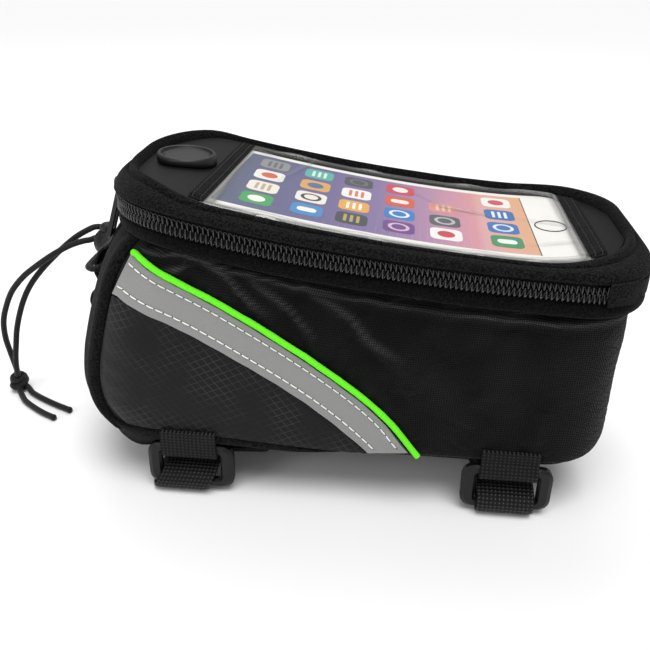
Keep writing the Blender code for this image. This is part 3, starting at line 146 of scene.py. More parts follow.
STRAP_LEAN = (                  # place in both paths against the share of the lean
    (4, 0.0), (5, 0.1), (7, 0.6), (9, 1.0), (11, 0.9), (15, 0.0))

# Cord, in the frame's own places
CORD_DIAMETER = 2.5 * mm
CORD_SIDES = 14
CORD_SPACING = 2.9 * mm         # between both strands inside the lock
LOCK_CENTRE = Vector((-99.66, 18.0, 73.92)) * mm
LOCK_AXIS = Vector((-0.5, 0.866, 0.0)).normalized()
LOCK_RADIUS = 6.4 * mm
LOOP_SPACE = 3.4 * mm
WEBBING_TOP = 96.0              # in mm, as are the next heights and routes
WEBBING_LENGTH = 43.0
LOOP_HEIGHTS = (                # height against how far the webbing stands off, from 0 to 1
    (96.0, 0.0), (90.0, 0.0), (84.5, 0.0), (82.5, 0.3), (80.5, 0.82), (78.5, 1.0),
    (73.5, 1.0), (71.5, 0.82), (69.5, 0.3), (67.5, 0.0), (65.5, 0.0), (64.0, 0.3),
    (62.2, 0.6), (59.8, 0.6), (58.0, 0.3), (56.0, 0.0), (53.0, 0.0))
KNOT_CENTRE = Vector((-150.2, 16.6, 4.3)) * mm
STRAND_ROUTES = {
    "rear": (
        (-104.2, 26.4, 76.6), (-107.6, 24.6, 77.8), (-111.2, 22.9, 76.5),
        (-115.6, 22.2, 73.9), (-120.8, 21.6, 69.8), (-126.1, 21.2, 65.0),
        (-131.5, 20.7, 59.7), (-137.1, 20.0, 53.1), (-141.0, 19.0, 46.7),
        (-144.1, 18.0, 39.3), (-146.2, 16.5, 31.6), (-147.1, 15.0, 24.8),
        (-147.9, 14.2, 19.3), (-148.4, 13.9, 14.4), (-149.2, 14.8, 8.8)),
    "front": (
        (-106.6, 22.4, 74.0), (-109.2, 20.8, 73.4), (-111.7, 19.6, 73.2),
        (-116.2, 18.2, 71.9), (-121.4, 17.6, 69.3), (-127.4, 17.2, 65.6),
        (-133.3, 17.2, 61.4), (-139.5, 17.4, 56.4), (-145.5, 17.3, 49.6),
        (-149.5, 17.1, 41.9), (-152.1, 17.2, 34.4), (-152.8, 17.4, 26.5),
        (-152.2, 17.6, 20.0), (-151.4, 17.8, 14.0), (-150.8, 18.0, 8.8)),
}
TAIL_ROUTES = {
    "front": (
        (-149.4, 15.2, 4.2), (-148.0, 12.4, 2.1), (-145.2, 8.8, 1.5), (-141.6, 5.0, 1.4),
        (-132.8, -1.1, 1.4), (-124.2, -5.5, 1.4)),
    "rear": (
        (-148.6, 16.6, 4.2), (-145.5, 15.6, 2.1), (-142.6, 12.9, 1.5),
        (-137.6, 9.6, 1.4), (-128.7, 4.9, 1.4), (-119.7, 0.9, 1.4)),
}

# Camera, at the photograph's angle
CAMERA_PLACE = Vector((15.9, -263.44, 187.68)) * mm
CAMERA_AZIMUTH = math.radians(5.43)
CAMERA_ELEVATION = math.radians(27.35)
CAMERA_ROLL = math.radians(0.77)
CAMERA_LENS = 42.09             # focal length in mm, on a sensor this wide:
SENSOR_WIDTH = 36.0


# Small shape helpers

def along(knots, at):
    """Value of a smooth curve through (place, value) knots, level past both ends."""
    if at <= knots[0][0]:
        return knots[0][1]
    if at >= knots[-1][0]:
        return knots[-1][1]
    index = max(i for i, knot in enumerate(knots[:-1]) if knot[0] <= at)
    (x0, y0), (x1, y1) = knots[index], knots[index + 1]
    step = x1 - x0

    def slope(i):
        low, high = max(i - 1, 0), min(i + 1, len(knots) - 1)
        return (knots[high][1] - knots[low][1]) / (knots[high][0] - knots[low][0])

    t = (at - x0) / step
    a, b = slope(index) * step, slope(index + 1) * step
    return ((2 * t ** 3 - 3 * t ** 2 + 1) * y0 + (t ** 3 - 2 * t ** 2 + t) * a
            + (3 * t ** 2 - 2 * t ** 3) * y1 + (t ** 3 - t ** 2) * b)


def lerp(a, b, t):
    return a + (b - a) * t


def span(first, last, count):
    return [lerp(first, last, i / (count - 1)) for i in range(count)]


def smooth(low, high, value):
    """Smooth step from 0 at low to 1 at high."""
    t = max(0.0, min(1.0, (value - low) / (high - low)))
    return t * t * (3 - 2 * t)


def bump(centre, width, value):
    """Rounded hump of height 1."""
    return math.exp(-((value - centre) / width) ** 2)


def zip_height(x):
    return along(ZIP_LINE, x)


def lid_height(x):
    return along(LID_LINE, x)


def front_wall(z):
    return along(FRONT_LINE, z)


def rear_wall(z):
    return along(REAR_LINE, z)


def seam_setback(z):
    """From the front wall back to the side panel's seam, narrower towards the top."""
    return along(SEAM_LINE, z)


def seam_x(z):
    return front_wall(z) + seam_setback(z) + GAP


def inverse(knots, value):
    """Place where a falling line of knots has a value."""
    low, high = knots[0][0], knots[-1][0]
    for _ in range(30):
        middle = (low + high) / 2
        if along(knots, middle) > value:
            low = middle
        else:
            high = middle
    return (low + high) / 2


def plan_outline(front, rear, half, front_radius, rear_radius, corner=18, side=64, end=10):
    """Closed outline seen from above, anticlockwise from the middle of the rear end."""
    points = []

    def arc(cx, cy, radius, start, stop):
        for angle in span(start, stop, corner + 1):
            points.append((cx + radius * math.cos(angle), cy + radius * math.sin(angle)))

    def run(a, b, count):
        for i in range(1, count):
            points.append((lerp(a[0], b[0], i / count), lerp(a[1], b[1], i / count)))

    quarter = math.pi / 2
    points.append((rear, 0.0))
    run((rear, 0.0), (rear, half - rear_radius), end)
    arc(rear - rear_radius, half - rear_radius, rear_radius, 0.0, quarter)
    run((rear - rear_radius, half), (front + front_radius, half), side)
    arc(front + front_radius, half - front_radius, front_radius, quarter, 2 * quarter)
    run((front, half - front_radius), (front, front_radius - half), 2 * end)
    arc(front + front_radius, front_radius - half, front_radius, 2 * quarter, 3 * quarter)
    run((front + front_radius, -half), (rear - rear_radius, -half), side)
    arc(rear - rear_radius, rear_radius - half, rear_radius, 3 * quarter, 4 * quarter)
    run((rear, rear_radius - half), (rear, 0.0), end)
    return points


def body_ring(offset, share, foot, top_drop):
    """Body outline at a share of the way from a foot height to the edge under the zip."""
    plain = plan_outline(front_wall(foot), rear_wall(foot), BODY_HALF_WIDTH,
                         BODY_CORNER_RADIUS, BODY_REAR_RADIUS)
    heights = [foot] * len(plain)
    for _ in range(3):              # heights follow X, and X follows the wall's lean
        points = []
        outlines = {}
        for i, z in enumerate(heights):
            key = round(z, 4)
            if key not in outlines:
                outlines[key] = plan_outline(front_wall(z) - offset, rear_wall(z) + offset,
                                             BODY_HALF_WIDTH + offset,
                                             BODY_CORNER_RADIUS + offset,
                                             BODY_REAR_RADIUS + offset)
            points.append(outlines[key][i])
        heights = [lerp(foot, zip_height(x) + top_drop, share) for x, _ in points]
    return [Vector((x, y, z)) for (x, y), z in zip(points, heights)]


def lid_ring(offset, drop):
    """Lid's outline, at the zip's height or off it."""
    outline = plan_outline(LID_FRONT - offset, LID_REAR + offset, LID_HALF_WIDTH + offset,
                           LID_FRONT_RADIUS + offset, LID_REAR_RADIUS + offset)
    return [Vector((x, y, zip_height(x) + drop)) for x, y in outline]


def panel_ring(offset, drop):
    """Outline of the lid's top panel, at the lid's height or off it."""
    outline = plan_outline(PANEL_FRONT - offset, PANEL_REAR + offset,
                           PANEL_HALF_WIDTH + offset, PANEL_FRONT_RADIUS + offset,
                           PANEL_REAR_RADIUS + offset)
    return [Vector((x, y, lid_height(x) + drop)) for x, y in outline]


def panel_half(x):
    """Half width of the lid's top panel at a place along it."""
    for end, radius, sign in ((PANEL_FRONT, PANEL_FRONT_RADIUS, -1),
                              (PANEL_REAR, PANEL_REAR_RADIUS, 1)):
        past = (x - (end - sign * radius)) * sign
        if past > 0:
            sag = math.sqrt(max(radius ** 2 - past ** 2, 0.0))
            return PANEL_HALF_WIDTH - radius + sag
    return PANEL_HALF_WIDTH


def side_half(x, z, offset):
    """Half width of the body wall's outer face at a point of its side."""
    front, rear = front_wall(z) - offset, rear_wall(z) + offset
    half = BODY_HALF_WIDTH + offset
    radius = BODY_CORNER_RADIUS + offset
    past = front + radius - x
    if past <= 0:
        radius = BODY_REAR_RADIUS + offset
        past = x - (rear - radius)
    if past <= 0:
        return half
    return half - radius + math.sqrt(max(radius ** 2 - past ** 2, 0.0))


def off_wall(height, distance, y):
    """Point at a distance off the front gusset, from a height on the wall."""
    lean = (front_wall(height + mm) - front_wall(height - mm)) / (2 * mm)
    normal = Vector((-1.0, 0.0, lean)).normalized()
    return Vector((front_wall(height) - SKIN_GAP - FRONT_GUSSET, y, height)) + normal * distance


def curve_point(a, b, c, d, t):
    """Point between b and c of a smooth curve through four points."""
    return 0.5 * (2 * b + (c - a) * t + (2 * a - 5 * b + 4 * c - d) * t ** 2
                  + (3 * b - 3 * c + d - a) * t ** 3)


def smooth_route(points, spacing):
    """Points at an even spacing on a smooth curve through the route's own points."""
    ends = [2 * points[0] - points[1], *points, 2 * points[-1] - points[-2]]
    fine = []
    for a, b, c, d in zip(ends, ends[1:], ends[2:], ends[3:]):
        fine += [curve_point(a, b, c, d, i / 16) for i in range(16)]
    fine.append(points[-1])
    length = route_length(fine)
    count = max(int(round(length / spacing)), 2)
    route, walked, target = [fine[0]], 0.0, length / count
    for p, q in zip(fine, fine[1:]):
        step = (q - p).length
        while walked + step >= target - 1e-9 and len(route) < count:
            route.append(p.lerp(q, (target - walked) / step))
            target += length / count
        walked += step
    route.append(fine[-1])
    return route


def route_length(route):
    return sum((q - p).length for p, q in zip(route, route[1:]))


# Mesh builders

def add_object(name, data):
    """Object with its data, linked to the scene."""
    obj = bpy.data.objects.new(name, data)
    bpy.context.scene.collection.objects.link(obj)
    return obj


def add_mesh(name, bm):
    """Object from a bmesh, which is used up."""
    mesh = bpy.data.meshes.new(name)
    bm.to_mesh(mesh)
    bm.free()
    return add_object(name, mesh)


def finish_piece(name, bm, mat, body, node_names, sharp=50.0):
    """Turn a bmesh into a piece that rides on a body and stands for its CAD nodes."""
    bmesh.ops.recalc_face_normals(bm, faces=bm.faces)
    if bm.calc_volume(signed=True) < 0:
        bmesh.ops.reverse_faces(bm, faces=bm.faces)
    obj = add_mesh(name, bm)
    obj.data.shade_smooth()
    obj.data.set_sharp_from_angle(angle=math.radians(sharp))
    obj.data.materials.append(mat)
    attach(obj, body)
    if node_names:
        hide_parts(*node_names)
    return obj


def set_uv(bm, face, corners):
    layer = bm.loops.layers.uv.verify()
    for loop, corner in zip(face.loops, corners):
        loop[layer].uv = corner


def skin(front, back, uv):
    """Closed piece between two grids of points."""
    bm = bmesh.new()
    tops = [[bm.verts.new(p) for p in row] for row in front]
    feet = [[bm.verts.new(p) for p in row] for row in back]
    rows, columns = len(tops), len(tops[0])
    for grid in (tops, feet):
        for i in range(rows - 1):
            for j in range(columns - 1):
                corners = ((i, j), (i + 1, j), (i + 1, j + 1), (i, j + 1))
                face = bm.faces.new([grid[a][b] for a, b in corners])
                set_uv(bm, face, [uv[a][b] for a, b in corners])
    rim = [((i, j), (i, j + 1)) for i in (0, rows - 1) for j in range(columns - 1)]
    rim += [((i, j), (i + 1, j)) for j in (0, columns - 1) for i in range(rows - 1)]
    for (a, b), (c, d) in rim:
        face = bm.faces.new((tops[a][b], tops[c][d], feet[c][d], feet[a][b]))
        set_uv(bm, face, (uv[a][b], uv[c][d], uv[c][d], uv[a][b]))
    return bm


def loft(rings, uv=None, closed=False):
    """Rings round the bag joined into one piece: its ends are capped or join each other."""
    bm = bmesh.new()
    rows = [[bm.verts.new(p) for p in ring] for ring in rings]
    count = len(rows[0])
    for i in range(len(rows) if closed else len(rows) - 1):
        n = (i + 1) % len(rows)
        for j in range(count):
            k = (j + 1) % count
            face = bm.faces.new((rows[i][j], rows[i][k], rows[n][k], rows[n][j]))
            if uv:
                set_uv(bm, face, (uv[i][j], uv[i][j + 1], uv[i + 1][j + 1], uv[i + 1][j]))
    for row in () if closed else (rows[0], rows[-1]):
        face = bm.faces.new(row)
        if uv:
            set_uv(bm, face, [(v.co.x, v.co.y) for v in row])
    return bm


def ring_uv(rings, closed=False):
    """UV in metres for rings: length round the first ring, length across the rings."""
    around = [0.0]
    first = rings[len(rings) // 2]
    for p, q in zip(first, first[1:] + first[:1]):
        around.append(around[-1] + (q - p).length)
    across = [0.0]
    for a, b in zip(rings, rings[1:] + (rings[:1] if closed else [])):
        across.append(across[-1] + (a[0] - b[0]).length)
    return [[(u, v) for u in around] for v in across]


def add_tube(bm, route, radius, sides):
    """Round tube along a route, with its UV in metres; radius may be a function of share."""
    up = Vector((0.0, 0.0, 1.0))
    ahead = (route[1] - route[0]).normalized()
    if abs(ahead.dot(up)) > 0.9:
        up = Vector((0.0, 1.0, 0.0))
    side = ahead.cross(up).normalized()
    rings, walked, lengths = [], 0.0, []
    for i, point in enumerate(route):
        tangent = (route[min(i + 1, len(route) - 1)] - route[max(i - 1, 0)]).normalized()
        side = (side - tangent * side.dot(tangent)).normalized()
        third = tangent.cross(side)
        if i:
            walked += (point - route[i - 1]).length
        lengths.append(walked)
        r = radius(i / (len(route) - 1)) if callable(radius) else radius
        rings.append([bm.verts.new(point + side * r * math.cos(a) + third * r * math.sin(a))
                      for a in (2 * math.pi * k / sides for k in range(sides))])
    girth = 2 * math.pi * (radius(0.5) if callable(radius) else radius)
    for i in range(len(rings) - 1):
        for j in range(sides):
            k = (j + 1) % sides
            face = bm.faces.new((rings[i][j], rings[i][k], rings[i + 1][k], rings[i + 1][j]))
            u0, u1 = girth * j / sides, girth * (j + 1) / sides
            set_uv(bm, face, ((u0, lengths[i]), (u1, lengths[i]),
                              (u1, lengths[i + 1]), (u0, lengths[i + 1])))
    bm.faces.new(rings[0])
    bm.faces.new(rings[-1])
    return bm


STITCH_SHAPE = (                # share of a stitch's length against share of its thickness
    (-0.5, 0.45), (-0.4, 0.85), (-0.15, 1.0), (0.15, 1.0), (0.4, 0.85), (0.5, 0.45))


def add_stitches(bm, route, normals, length, pitch, width, rise):
    """Row of thread dashes that lie on a surface and sink into it at both ends."""
    walked, target = 0.0, 0.3 * pitch
    for (p, q), up in zip(zip(route, route[1:]), normals):
        step = (q - p).length
        while step > 0 and walked + step >= target:
            centre = p.lerp(q, (target - walked) / step)
            heading = (q - p).normalized()
            side = heading.cross(up).normalized()
            rings = []
            for share, thick in STITCH_SHAPE:
                lift = rise + width * (0.42 - 1.7 * max(0.0, abs(share) - 0.3))
                point = centre + heading * share * length + up * lift
                r = 0.5 * width * thick
                rings.append([bm.verts.new(point + side * r * math.cos(a) + up * r * math.sin(a))
                              for a in (math.pi * k / 3 for k in range(6))])
            for a, b in zip(rings, rings[1:]):
                for j in range(6):
                    k = (j + 1) % 6
                    bm.faces.new((a[j], a[k], b[k], b[j]))
            bm.faces.new(rings[0])
            bm.faces.new(rings[-1])
            target += pitch
        walked += step


def slab(x0, x1, skew0, skew1, half, top, thickness, columns, rows, lift):
    """Slab that follows the lid between two cross lines; lift raises its top face."""
    upper, lower, uv = [], [], []
    for u in span(0.0, 1.0, columns):
        middle, lean = lerp(x0, x1, u), lerp(skew0, skew1, u)
        tops, feet, marks = [], [], []
        for v in span(-1.0, 1.0, rows):
            x = middle + lean * v / 2
            y = half(x) * v
            z = lid_height(x) + top
            tops.append(Vector((x, y, z + lift(u, v, x, y))))
            feet.append(Vector((x, y, z - thickness)))
            marks.append((x, y))
        upper.append(tops)
        lower.append(feet)
        uv.append(marks)
    return skin(upper, lower, uv)


# Materials

def linear(text):
    """Linear colour from an sRGB hex code."""
    values = [int(text[i:i + 2], 16) / 255 for i in (1, 3, 5)]
    return tuple(v / 12.92 if v <= 0.04045 else ((v + 0.055) / 1.055) ** 2.4 for v in values)


def add_node(tree, kind, inputs=None, **settings):
    """Add a shader node; an input is a value or a (node, output name) pair."""
    node = tree.nodes.new(kind)
    for name, value in settings.items():
        setattr(node, name, value)
    for key, value in (inputs or {}).items():
        if isinstance(value, tuple) and isinstance(value[0], bpy.types.Node):
            tree.links.new(value[0].outputs[value[1]], node.inputs[key])
        else:
            node.inputs[key].default_value = value
    return node


def maths(tree, operation, a, b=0.0):
    return add_node(tree, "ShaderNodeMath", {0: a, 1: b}, operation=operation), "Value"


def new_material(name, **sockets):
    mat = bpy.data.materials.new(name)
    mat.use_nodes = True
    shader = mat.node_tree.nodes["Principled BSDF"]
    for key, value in sockets.items():
        shader.inputs[key.replace("_", " ")].default_value = value
    return mat, mat.node_tree, shader


def plane_coordinates(tree, by_uv=True, axes=("X", "Y")):
    """The two coordinates, in metres, that a weave follows."""
    if by_uv:
        place = (add_node(tree, "ShaderNodeUVMap"), "UV")
    else:
        place = (add_node(tree, "ShaderNodeTexCoord"), "Object")
    parts = add_node(tree, "ShaderNodeSeparateXYZ", {0: place})
    return (parts, axes[0]), (parts, axes[1])


def grain(tree, size, detail=2.0):
    """Noise of a size in metres, in object coordinates."""
    place = add_node(tree, "ShaderNodeTexCoord")
    return add_node(tree, "ShaderNodeTexNoise", {"Vector": (place, "Object"),
                    "Scale": 1.0 / size, "Detail": detail}), "Fac"


def dots(tree, u, v, pitch_u, pitch_v):
    """Brick pattern of yarn tops from -1 to 1, with real pitches."""
    across = maths(tree, "MULTIPLY", u, 2 * math.pi / pitch_u)
    up = maths(tree, "MULTIPLY", v, 2 * math.pi / pitch_v)
    one = maths(tree, "SINE", maths(tree, "ADD", across, up))
    two = maths(tree, "SINE", maths(tree, "SUBTRACT", across, up))
    return maths(tree, "MULTIPLY", one, two)


def yarn_tops(tree, u, v, pitch_u, pitch_v):
    """Brick pattern of yarn tops from 0 to 1."""
    yarn = maths(tree, "MULTIPLY_ADD", dots(tree, u, v, pitch_u, pitch_v), 0.5)
    yarn[0].inputs[2].default_value = 0.5
    return yarn


def shade(tree, shader, factor, dark, light):
    """Colour that runs from dark to light with a factor."""
    mix = add_node(tree, "ShaderNodeMix", {0: factor}, data_type="RGBA")
    mix.inputs[6].default_value = (*dark, 1.0)
    mix.inputs[7].default_value = (*light, 1.0)
    tree.links.new(mix.outputs[2], shader.inputs["Base Color"])


def relief(tree, shader, height, distance):
    """Surface that stands up with a height, by a distance in metres."""
    node = add_node(tree, "ShaderNodeBump", {"Height": height, "Distance": distance,
                    "Strength": 1.0})
    tree.links.new(node.outputs["Normal"], shader.inputs["Normal"])


TONE_PATCH = 22 * mm            # size of the slow changes of tone across a cloth


def woven_material(name, dark, light, pitch_u, pitch_v, depth, rough=0.62, sheen=0.06,
                   by_uv=True, axes=("X", "Y"), sharp=1.0):
    """Plain woven cloth: yarn tops in a brick pattern, with slow changes of tone."""
    mat, tree, shader = new_material(name, Roughness=rough, Sheen_Weight=sheen,
                                     Sheen_Roughness=0.45, Specular_IOR_Level=0.18)
    u, v = plane_coordinates(tree, by_uv, axes)
    yarn = yarn_tops(tree, u, v, pitch_u, pitch_v)
    tone = maths(tree, "MULTIPLY", maths(tree, "POWER", yarn, sharp),
                 maths(tree, "ADD", grain(tree, TONE_PATCH), 0.15))
    shade(tree, shader, tone, dark, light)
    relief(tree, shader, yarn, depth)
    return mat


def body_material(name, colour, pitch):
    """Body cloth: brick weave, with painted highlights on the fold ridges and painted shade in the
    gap under the welt.
    """
    mat, tree, shader = new_material(name, Roughness=0.6, Sheen_Weight=0.09,
                                     Sheen_Roughness=0.4, Specular_IOR_Level=0.05)
    u, v = plane_coordinates(tree)
    yarn = yarn_tops(tree, u, v, 1.7 * pitch, 1.6 * pitch)
    # Painted light of the folds: it lifts the yarn tops to grey on the ridges and darkens the gap
    # under the welt
    painted_fold_light = add_node(tree, "ShaderNodeAttribute", attribute_name="painted_fold_light")
    fold_light_level = maths(tree, "MULTIPLY", (painted_fold_light, "Fac"), 3.2)
    level = maths(tree, "ADD", maths(tree, "ADD", grain(tree, TONE_PATCH), -0.15), fold_light_level)
    tone = maths(tree, "MAXIMUM", maths(tree, "MULTIPLY", yarn, level), 0.0)
    mix = add_node(tree, "ShaderNodeMix", {0: tone}, data_type="RGBA")
    mix.clamp_factor = False
    mix.inputs[6].default_value = (*(0.12 * c for c in colour), 1.0)
    mix.inputs[7].default_value = (*(2.6 * c for c in colour), 1.0)
    tree.links.new(mix.outputs[2], shader.inputs["Base Color"])
    relief(tree, shader, yarn, 0.25 * mm)
    return mat


def napped_material(name, dark, light, size=0.62 * mm, depth=0.6 * mm):
    """Brushed cloth: a fine irregular pile with a soft sheen."""
    mat, tree, shader = new_material(name, Roughness=0.9, Sheen_Weight=0.04,
                                     Sheen_Roughness=0.5, Specular_IOR_Level=0.06)
    pile = grain(tree, size, 3.0)
    tone = add_node(tree, "ShaderNodeMapRange", {"Value": pile, "From Min": 0.4,
                    "From Max": 0.66})
    shade(tree, shader, (tone, "Result"), dark, light)
    relief(tree, shader, pile, depth)
    return mat


def plain_material(name, colour, rough, size=0.6 * mm, depth=0.03 * mm, **sockets):
    """Moulded or coated surface with a faint grain."""
    mat, tree, shader = new_material(name, Roughness=rough, **sockets)
    speck = grain(tree, size, 2.0)
    shade(tree, shader, speck, tuple(0.8 * c for c in colour), tuple(1.25 * c for c in colour))
    relief(tree, shader, speck, depth)
    return mat


def ripstop_material(name, dark, light, pitch):
    """Coated ripstop: fine cloth crossed by two slanted sets of thicker threads."""
    mat, tree, shader = new_material(name, Roughness=0.5, Sheen_Weight=0.05,
                                     Specular_IOR_Level=0.15)
    u, v = plane_coordinates(tree)
    lines = None
    for lean_u, lean_v in ((0.80, 0.60), (-0.42, 0.91)):
        place = maths(tree, "ADD", maths(tree, "MULTIPLY", u, lean_u),
                      maths(tree, "MULTIPLY", v, lean_v))
        wave = maths(tree, "COSINE", maths(tree, "MULTIPLY", place, 2 * math.pi / pitch))
        line = add_node(tree, "ShaderNodeMapRange", {"Value": wave, "From Min": 0.93,
                        "From Max": 1.0})
        line = (line, "Result")
        lines = line if lines is None else maths(tree, "MAXIMUM", lines, line)
    patchy = add_node(tree, "ShaderNodeMapRange", {"Value": grain(tree, 16 * mm),
                      "From Min": 0.38, "From Max": 0.60})
    worn = maths(tree, "MULTIPLY", lines, (patchy, "Result"))
    fine = maths(tree, "MULTIPLY", dots(tree, u, v, 0.7 * mm, 0.7 * mm), 0.12)
    shade(tree, shader, maths(tree, "ADD", worn, fine), dark, light)
    relief(tree, shader, maths(tree, "ADD", lines, fine), 0.1 * mm)
    return mat


def screen_material(name):
    """Printed card under the film: its fields of colour are painted on the faces."""
    mat, tree, shader = new_material(name, Roughness=0.4, Specular_IOR_Level=0.4)
    paint = add_node(tree, "ShaderNodeAttribute", attribute_name="print")
    tree.links.new(paint.outputs["Color"], shader.inputs["Base Color"])
    relief(tree, shader, grain(tree, 0.5 * mm), 0.01 * mm)
    return mat


def film_material(name):
    """Clear vinyl film: nearly clear in the middle; where it is creased a grey colour is painted
    as the light on its wrinkles, and its gloss shows there.
    """
    mat, tree, shader = new_material(name, Roughness=0.08, Specular_IOR_Level=1.0,
                                     Coat_Weight=1.0, Coat_Roughness=0.04)
    # Grey that paints the light on the creases, where the haze lets it show
    shader.inputs["Base Color"].default_value = (0.30, 0.30, 0.29, 1.0)
    film_light_and_gloss = add_node(tree, "ShaderNodeAttribute", attribute_name="film_light_and_gloss")
    cloud = maths(tree, "MULTIPLY", grain(tree, 9 * mm), 0.03)
    alpha = maths(tree, "ADD", (film_light_and_gloss, "Fac"), cloud)
    tree.links.new(alpha[0].outputs[0], shader.inputs["Alpha"])
    relief(tree, shader, grain(tree, 6 * mm, 1.0), 0.15 * mm)
    return mat


def make_materials(sizes):
    """One procedural material for each real material of the bag.

    A weave finer than the picture can show is drawn two or three times as coarse as its yarn.
    """
    cloth = tuple(sizes.cloth_colour)
    piping = tuple(sizes.piping_colour)
    lining = linear("#1C1D1F"), linear("#3A3B3E"), 1.2 * mm, 1.2 * mm, 0.06 * mm
    return {
        # Woven polyester: matt and nearly black, with painted highlights of grey yarn tops on the
        # fold ridges and painted shade under the welt
        "woven": body_material("woven polyester", cloth, sizes.weave_pitch),
        # Polyester brushed to a short nap: dull black with a faint speckle of fibre ends
        "nap": napped_material("napped polyester", linear("#040404"), linear("#1F1F21")),
        # The same nap in a binding that faces down, painted darker as the shade that falls on it
        # under the chain
        "band": napped_material("napped polyester binding in painted shade", linear("#020202"),
                                linear("#101011")),
        # Cloth with a smooth coating: even dark grey with a soft, wide shine
        "smooth": plain_material("coated cloth", linear("#0E0E10"), 0.5, 1.4 * mm, 0.02 * mm,
                                 Specular_IOR_Level=0.12),
        # Thin grey lining with a plain weave, upright on the walls and flat in the lid
        "lining": woven_material("lining cloth", *lining, by_uv=False, axes=("X", "Z")),
        "lid lining": woven_material("lining cloth of the lid", *lining, by_uv=False),
        # Polyethylene stiffener: flat dark grey
        "board": plain_material("polyethylene board", linear("#2A2A2A"), 0.7),
        # Coated ripstop: smooth dark cloth with a slanted grid of thicker threads
        "ripstop": ripstop_material("coated ripstop", linear("#0E0E0F"), linear("#3A3A3C"),
                                    2.5 * mm),
        # Reflective tape, coated with glass beads: even mid grey with a satin face
        "tape": plain_material("glass bead tape", tuple(sizes.tape_colour), 0.42, 0.35 * mm,
                               0.02 * mm, Specular_IOR_Level=0.7),
        # Cloth-covered piping cord: saturated lime with a slight fuzz
        "piping": napped_material("dyed cotton piping", tuple(0.85 * c for c in piping),
                                  piping, 0.5 * mm, 0.08 * mm),
        # Sewing thread: bright and matt on the tapes, black on the lid's trims; the black one also
        # serves as painted shade in the tapes' needle lines
        "thread": plain_material("white polyester thread", linear("#F2F2EE"), 0.7, 0.2 * mm,
                                 0.03 * mm),
        "black thread": plain_material("black polyester thread and needle shade", linear("#070707"), 0.5,
                                       0.2 * mm, 0.03 * mm),
        # Nylon wire: black and fairly glossy, so each loop has its own small light
        "coil": plain_material("nylon wire", linear("#0B0B0C"), 0.24, 0.3 * mm, 0.01 * mm,
                               Specular_IOR_Level=0.75),
        # Zip tape: tightly woven, flat black
        "zip tape": woven_material("woven zip tape", linear("#0D0D0E"), linear("#1B1B1C"),
                                   0.9 * mm, 0.9 * mm, 0.06 * mm, by_uv=False),
        # Die-cast zinc under black lacquer: hard, narrow lights
        "metal": plain_material("lacquered zinc", linear("#19191A"), 0.3, 0.8 * mm, 0.01 * mm,
                                Coat_Weight=0.5),
        # Moulded acetal: black with a dull waxy shine
        "plastic": plain_material("moulded acetal", linear("#0D0D0E"), 0.42, 0.7 * mm,
                                  0.02 * mm, Specular_IOR_Level=0.3),
        # Moulded rubber: matt black with a wide pale shine on its edges
        "rubber": plain_material("moulded rubber", linear("#0E0E0F"), 0.5, 0.4 * mm,
                                 0.03 * mm),
        # Polypropylene webbing: coarse ribs with painted highlights on the yarn tops and painted
        # shade in the gaps between them
        "webbing": woven_material("polypropylene webbing", linear("#060607"),
                                  linear("#58585B"), 2.9 * mm, 2.5 * mm, 0.6 * mm, 0.5, 0.02,
                                  sharp=6.0),
        # Tab webbing: painted highlights on the yarn tops and painted shade in the gaps, as on the
        # straps
        "webbing plain": woven_material("polypropylene tab webbing", linear("#060607"),
                                        linear("#48484A"), 2.9 * mm, 2.5 * mm, 0.5 * mm,
                                        0.6, 0.02, by_uv=False, axes=("X", "Z"), sharp=7.0),
        # Nylon loop pile: a soft, dull grey-black fuzz
        "pile": napped_material("nylon loop pile", linear("#121213"), linear("#222224"),
                                0.7 * mm, 0.3 * mm),
        # Braided polyester over elastic: small slanted plaits with a weak sheen
        "cord": woven_material("braided polyester", linear("#070708"), linear("#2B2B2D"),
                               1.3 * mm, 2.4 * mm, 0.18 * mm, 0.5, 0.1),
        # Spring steel wire: bright bare metal
        "spring": plain_material("spring steel", linear("#A8A8A8"), 0.3, Metallic=1.0),
        # Printed card: flat colours with a weak shine, behind the film
        "screen": screen_material("printed card"),
        # Soft vinyl film: clear, with grey streaks where it is bent or sewn, painted as the light
        # on its wrinkles, where its gloss also shows
        "film": film_material("soft vinyl film"),
    }


# Bag body

def panel_cover(x, z):
    """1 where a sewn panel or the front gusset lies on the wall, 0 where the cloth is bare."""
    if z < BODY_BOTTOM:
        return 0.0
    above = z - along(PIPING_LINE, x) if x < PIPING_LINE[-1][0] else 1.0
    seam = x - seam_x(z)
    return max(1.0 - smooth(-1.0 * mm, 4.0 * mm, above), 1.0 - smooth(0.0, 5.0 * mm, seam))


RIM_LINE = in_mm(               # X against depth under the zip, along the upper ridge
    (-70, 11.2), (-63.6, 11.8), (-59.7, 11.9), (-54, 10.4), (-47, 9.5), (-43, 9.6),
    (-39, 10.5), (-34.7, 11.8), (-30, 10.9), (-26, 11.3), (-20, 12.3), (-7.5, 12.7),
    (6, 13.0), (20, 13.3), (50, 13.1), (70, 12.6), (86, 10.5))
FOLDS = (                       # other ridges: X against depth, then width and height in mm
    (in_mm((-67, 15.0), (-60, 18.0), (-53, 16.0), (-46, 12.5)), 1.5, 0.9),
    (in_mm((-43, 11.5), (-37.8, 13.5), (-29.7, 20.0), (-21.6, 27.0)), 2.6, 1.5),
    (in_mm((-29, 13.0), (-21.2, 18.0), (-13.4, 25.0), (-6, 32.0)), 2.7, 1.2),
    (in_mm((-8, 14.5), (2, 20.0), (12, 27.0), (22, 34.0)), 2.8, 0.6))


